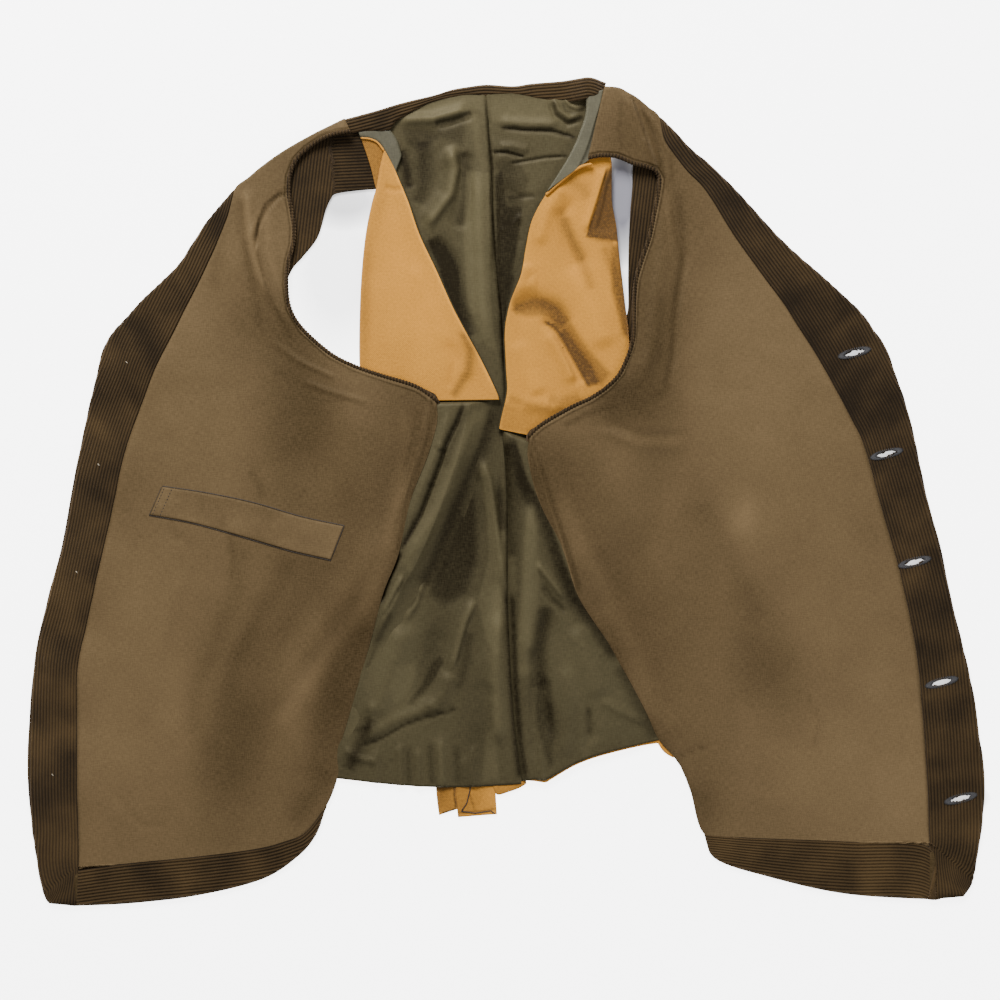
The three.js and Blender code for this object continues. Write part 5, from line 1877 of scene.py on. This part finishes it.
class WAISTCOAT_OT_trim(bpy.types.Operator):
    """Build the inner pocket welt, the strap ends, the buttonhole stitching and the buttons"""

    bl_idname = "waistcoat.trim"
    bl_label = "Pocket, straps and buttons"

    def execute(self, context):
        self.pocket_welt()
        self.strap_ends()
        self.buttonholes()
        self.button_threads()
        for number in range(1, len(BUTTONS) + 1):
            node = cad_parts[f"button_{number}"]
            node.data.materials.clear()
            node.data.materials.append(finishes.get("button"))
        return {"FINISHED"}

    def pocket_welt(self):
        def shape(u, v):
            points, wide = ruled(POCKET_WELT, 0, 2, u, v)
            edge = from_sides(u, wide)
            rim = np.minimum(edge, from_sides(v, WELT_LENGTH))
            drop = 0.5 * bell(rim, 0.8)
            heights = front_ground(points, "right") + FRONT_LINING_TOP + 1.0 - drop
            heights += settled(points, 61, 0.4)
            # Darker round the welt's rim: painted shade at its edges.
            tones = 0.02 + settled(points, 63, 0.5) - 0.9 * bell(rim, 0.55)
            return points, heights, points * SQUARE_MM, tones

        piece = make_sheet("pocket_welt_cloth", finishes.get("sateen"), (30, 120), shape)
        declare("inner_pocket_welt")
        brown = finishes.get("brown_thread")
        stitches = []
        for row in WELT_STITCH_ROWS:
            for number in range(WELT_STITCHES):
                start = WELT_STITCH_START + WELT_STITCH_STEP * number
                route = self.on_welt([start, start + WELT_STITCH_LENGTH], [row, row], 1.05)
                stitches.append(make_cord("stitch", brown, route, STITCH_RADIUS, sides=6, steps=3))
        # A dark cord round the welt stands in for the shadow at its edges: painted shadow.
        down = np.linspace(0, 1, WELT_SIDE_POINTS)
        across = np.linspace(0, 1, WELT_END_POINTS)
        near_side = np.full(WELT_SIDE_POINTS, -WELT_EDGE_GAP)
        far_side = np.full(WELT_SIDE_POINTS, 1 + WELT_EDGE_GAP)
        u = np.r_[near_side, across, far_side, across[::-1]]
        v = np.r_[down, np.ones(WELT_END_POINTS), down[::-1], np.zeros(WELT_END_POINTS)]
        stitches.append(make_cord("stitch", brown, self.on_welt(u, v, 0.15), 0.4, sides=6))
        row = joined("pocket_stitches_and_shadow_line", stitches)

    def on_welt(self, u, v, up):
        """A route over the welt, so many millimetres above the front's lining."""
        points, _ = ruled(POCKET_WELT, 0, 2, np.array(u), np.array(v))
        height = front_ground(points, "right") + FRONT_LINING_TOP + up
        return np.column_stack([points, height])

    def strap_ends(self):
        for number, (table, sunk) in enumerate(zip(STRAP_ENDS, STRAP_END_DROPS), 1):
            def shape(u, v, table=table, sunk=sunk):
                points, wide = ruled(table, 0, 2, u, v)
                edge = from_sides(u, wide)
                heights = 1.7 - 0.5 * bell(edge, 0.7) + settled(points, 71, 0.5) - sunk
                tones = toned(points, [], STRAP_SHADOW_AND_HIGHLIGHT_LINES) + settled(points, 73, 0.5) - 0.14
                return points, heights, points * SQUARE_MM, tones

            name = f"waist_strap_cloth_{number}"
            piece = make_sheet(name, finishes.get("twill"), (24, 28), shape, 1.1)
            declare(f"waist_strap_{number}")
        brown = finishes.get("brown_thread")
        zigzag = make_cord("strap_stitching", brown, STRAP_STITCHING, 0.42, sides=6)

    def buttonholes(self):
        thread = finishes.get("thread")
        cos, sin = math.cos(-BUTTONHOLE_TILT), math.sin(-BUTTONHOLE_TILT)
        loops = []
        for x, y in BUTTONHOLES:
            for number in range(HOLE_STITCHES):
                turn = 2 * math.pi * number / HOLE_STITCHES
                route = []
                for (length, width), up in ((HOLE_STITCH_IN, 0.1), (HOLE_STITCH_OUT, 0.15)):
                    dx, dy = length * math.cos(turn), width * math.sin(turn)
                    route.append((x + dx * cos - dy * sin, y + dx * sin + dy * cos, up))
                route = np.array(route)
                route[:, 2] += front_ground(route[:, :2], "left") + FACING_TOP
                loops.append(make_cord("stitch", thread, route, HOLE_STITCH_RADIUS, sides=6, steps=3))
        piece = joined("buttonhole_stitches", loops)

    def button_threads(self):
        pale = finishes.get("pale_thread")
        dots = []
        for x, y in BUTTONS:
            route = np.array([(x - 1.0, y - 1.2, 0.1), (x + 1.0, y + 1.0, 0.1)])
            route[:, 2] += front_ground(route[:, :2], "right") + FACING_TOP
            dots.append(make_cord("stitch", pale, route, STITCH_RADIUS, sides=6, steps=3))
        piece = joined("button_threads", dots)


class WAISTCOAT_OT_stage(bpy.types.Operator):
    """Lay a pale floor, hang the soft lights and aim the camera straight down"""

    bl_idname = "waistcoat.stage"
    bl_label = "Stage"

    def execute(self, context):
        self.floor()
        self.lights()
        self.camera()
        return {"FINISHED"}

    def floor(self):
        bm = bmesh.new()
        bmesh.ops.create_grid(bm, x_segments=1, y_segments=1, size=3.0)
        mesh = bpy.data.meshes.new("floor")
        bm.to_mesh(mesh)
        bm.free()
        material = bpy.data.materials.new("pale_floor")
        material.use_nodes = True
        material.node_tree.nodes.clear()
        nodes = NodeTree(material.node_tree)
        surface = nodes.add("BsdfPrincipled", {"Roughness": 0.9, "Emission Color": (1, 1, 1, 1)})
        nodes.add("OutputMaterial", {"Surface": surface.outputs[0]})
        place = nodes.add("TexCoord").outputs["Object"]
        shade_level = 0.0
        shades = FLOOR_SHADES + [(x, y, *BUTTONHOLE_SHADE) for x, y in BUTTONHOLES]
        for x, y, half_width, half_height, depth in shades:
            centre = ((x - MIDDLE_X) * SQUARE, (MIDDLE_Y - y) * SQUARE, 0)
            away = nodes.add("VectorMath", {0: place, 1: centre}, operation="SUBTRACT").outputs[0]
            size = (1 / (half_width * SQUARE), 1 / (half_height * SQUARE), 0)
            scaled = nodes.add("VectorMath", {0: away, 1: size}, operation="MULTIPLY").outputs[0]
            length = nodes.add("VectorMath", {0: scaled}, operation="LENGTH").outputs["Value"]
            near = nodes.math("SUBTRACT", FLOOR_SHADE_REACH, length, clamp=True)
            darker = nodes.math("MULTIPLY", near, depth)
            shade_level = nodes.math("ADD", shade_level, darker, clamp=True)
        colour = nodes.mix(shade_level, FLOOR_PALE, FLOOR_DARK)
        lit = nodes.math("POWER", nodes.math("SUBTRACT", 1.0, shade_level), FLOOR_GLOW_FALL)
        glow = nodes.math("MULTIPLY", lit, FLOOR_GLOW)
        nodes.tree.links.new(colour, surface.inputs["Base Color"])
        nodes.tree.links.new(glow, surface.inputs["Emission Strength"])
        mesh.materials.append(material)
        plane = bpy.data.objects.new("floor", mesh)
        bpy.context.scene.collection.objects.link(plane)

    def lights(self):
        world = bpy.data.worlds.new("studio")
        world.use_nodes = True
        sky = world.node_tree.nodes["Background"]
        sky.inputs["Color"].default_value = (1, 1, 1, 1)
        sky.inputs["Strength"].default_value = SKY_STRENGTH
        bpy.context.scene.world = world
        for name, power, size, place in LIGHTS:
            light = bpy.data.lights.new(name, "AREA")
            light.energy = power
            light.size = size
            lamp = bpy.data.objects.new(name, light)
            lamp.location = place
            lamp.rotation_euler = (-Vector(place)).to_track_quat("-Z", "Y").to_euler()
            bpy.context.scene.collection.objects.link(lamp)

    def camera(self):
        sizes = bpy.context.scene.waistcoat_sizes
        view = bpy.data.cameras.new("camera")
        view.sensor_width = SENSOR_MM
        view.lens = SENSOR_MM * sizes.camera_height / (PHOTO_SIDE * SQUARE)
        eye = bpy.data.objects.new("camera", view)
        middle = PHOTO_SIDE / 2
        eye.location = (
            (middle - MIDDLE_X) * SQUARE, (MIDDLE_Y - middle) * SQUARE, sizes.camera_height,
        )
        bpy.context.scene.collection.objects.link(eye)
        bpy.context.scene.camera = eye


class WaistcoatSizes(bpy.types.PropertyGroup):
    wale_pitch: bpy.props.FloatProperty(
        name="Wale pitch", description="Distance from one wale of the corduroy to the next",
        default=0.0025, unit="LENGTH",
    )
    camera_height: bpy.props.FloatProperty(
        name="Camera height", description="How far above the table the camera hangs",
        default=2.2, unit="LENGTH",
    )


class WaistcoatColours(bpy.types.PropertyGroup):
    corduroy: bpy.props.FloatVectorProperty(
        name="Corduroy", description="Colour of the fronts, facings and neck band",
        subtype="COLOR", size=3, default=(0.0225, 0.0138, 0.0054),
    )
    front_lining: bpy.props.FloatVectorProperty(
        name="Front lining", description="Colour of the sateen inside the fronts",
        subtype="COLOR", size=3, default=(0.092, 0.0615, 0.0300),
    )
    back_lining: bpy.props.FloatVectorProperty(
        name="Back lining", description="Colour of the satin inside the back",
        subtype="COLOR", size=3, default=(0.039, 0.0325, 0.0166),
    )
    back_outside: bpy.props.FloatVectorProperty(
        name="Back outside", description="Colour of the twill outside the back",
        subtype="COLOR", size=3, default=(0.47, 0.205, 0.026),
    )


class VIEW3D_PT_waistcoat(bpy.types.Panel):
    """Lists the steps that build the waistcoat"""

    bl_label = "Work waistcoat"
    bl_space_type = "VIEW_3D"
    bl_region_type = "UI"
    bl_category = "Waistcoat"

    def draw(self, context):
        for operator in OPERATORS:
            self.layout.operator(operator.bl_idname)
        for settings in (context.scene.waistcoat_sizes, context.scene.waistcoat_colours):
            for name in settings.__annotations__:
                self.layout.prop(settings, name)


OPERATORS = (
    WAISTCOAT_OT_fronts,
    WAISTCOAT_OT_facings,
    WAISTCOAT_OT_back,
    WAISTCOAT_OT_trim,
    WAISTCOAT_OT_stage,
)
CLASSES = (WaistcoatSizes, WaistcoatColours, *OPERATORS, VIEW3D_PT_waistcoat)


def register():
    for item in CLASSES:
        bpy.utils.register_class(item)
    bpy.types.Scene.waistcoat_sizes = bpy.props.PointerProperty(type=WaistcoatSizes)
    bpy.types.Scene.waistcoat_colours = bpy.props.PointerProperty(type=WaistcoatColours)


def unregister():
    del bpy.types.Scene.waistcoat_colours
    del bpy.types.Scene.waistcoat_sizes
    for item in reversed(CLASSES):
        bpy.utils.unregister_class(item)


def main():
    global finishes
    register()
    finishes = Finishes()
    bpy.ops.waistcoat.stage()
    bpy.ops.waistcoat.fronts()
    bpy.ops.waistcoat.facings()
    bpy.ops.waistcoat.back()
    bpy.ops.waistcoat.trim()
    bpy.context.view_layer.update()


if __name__ == "__main__":
    main()
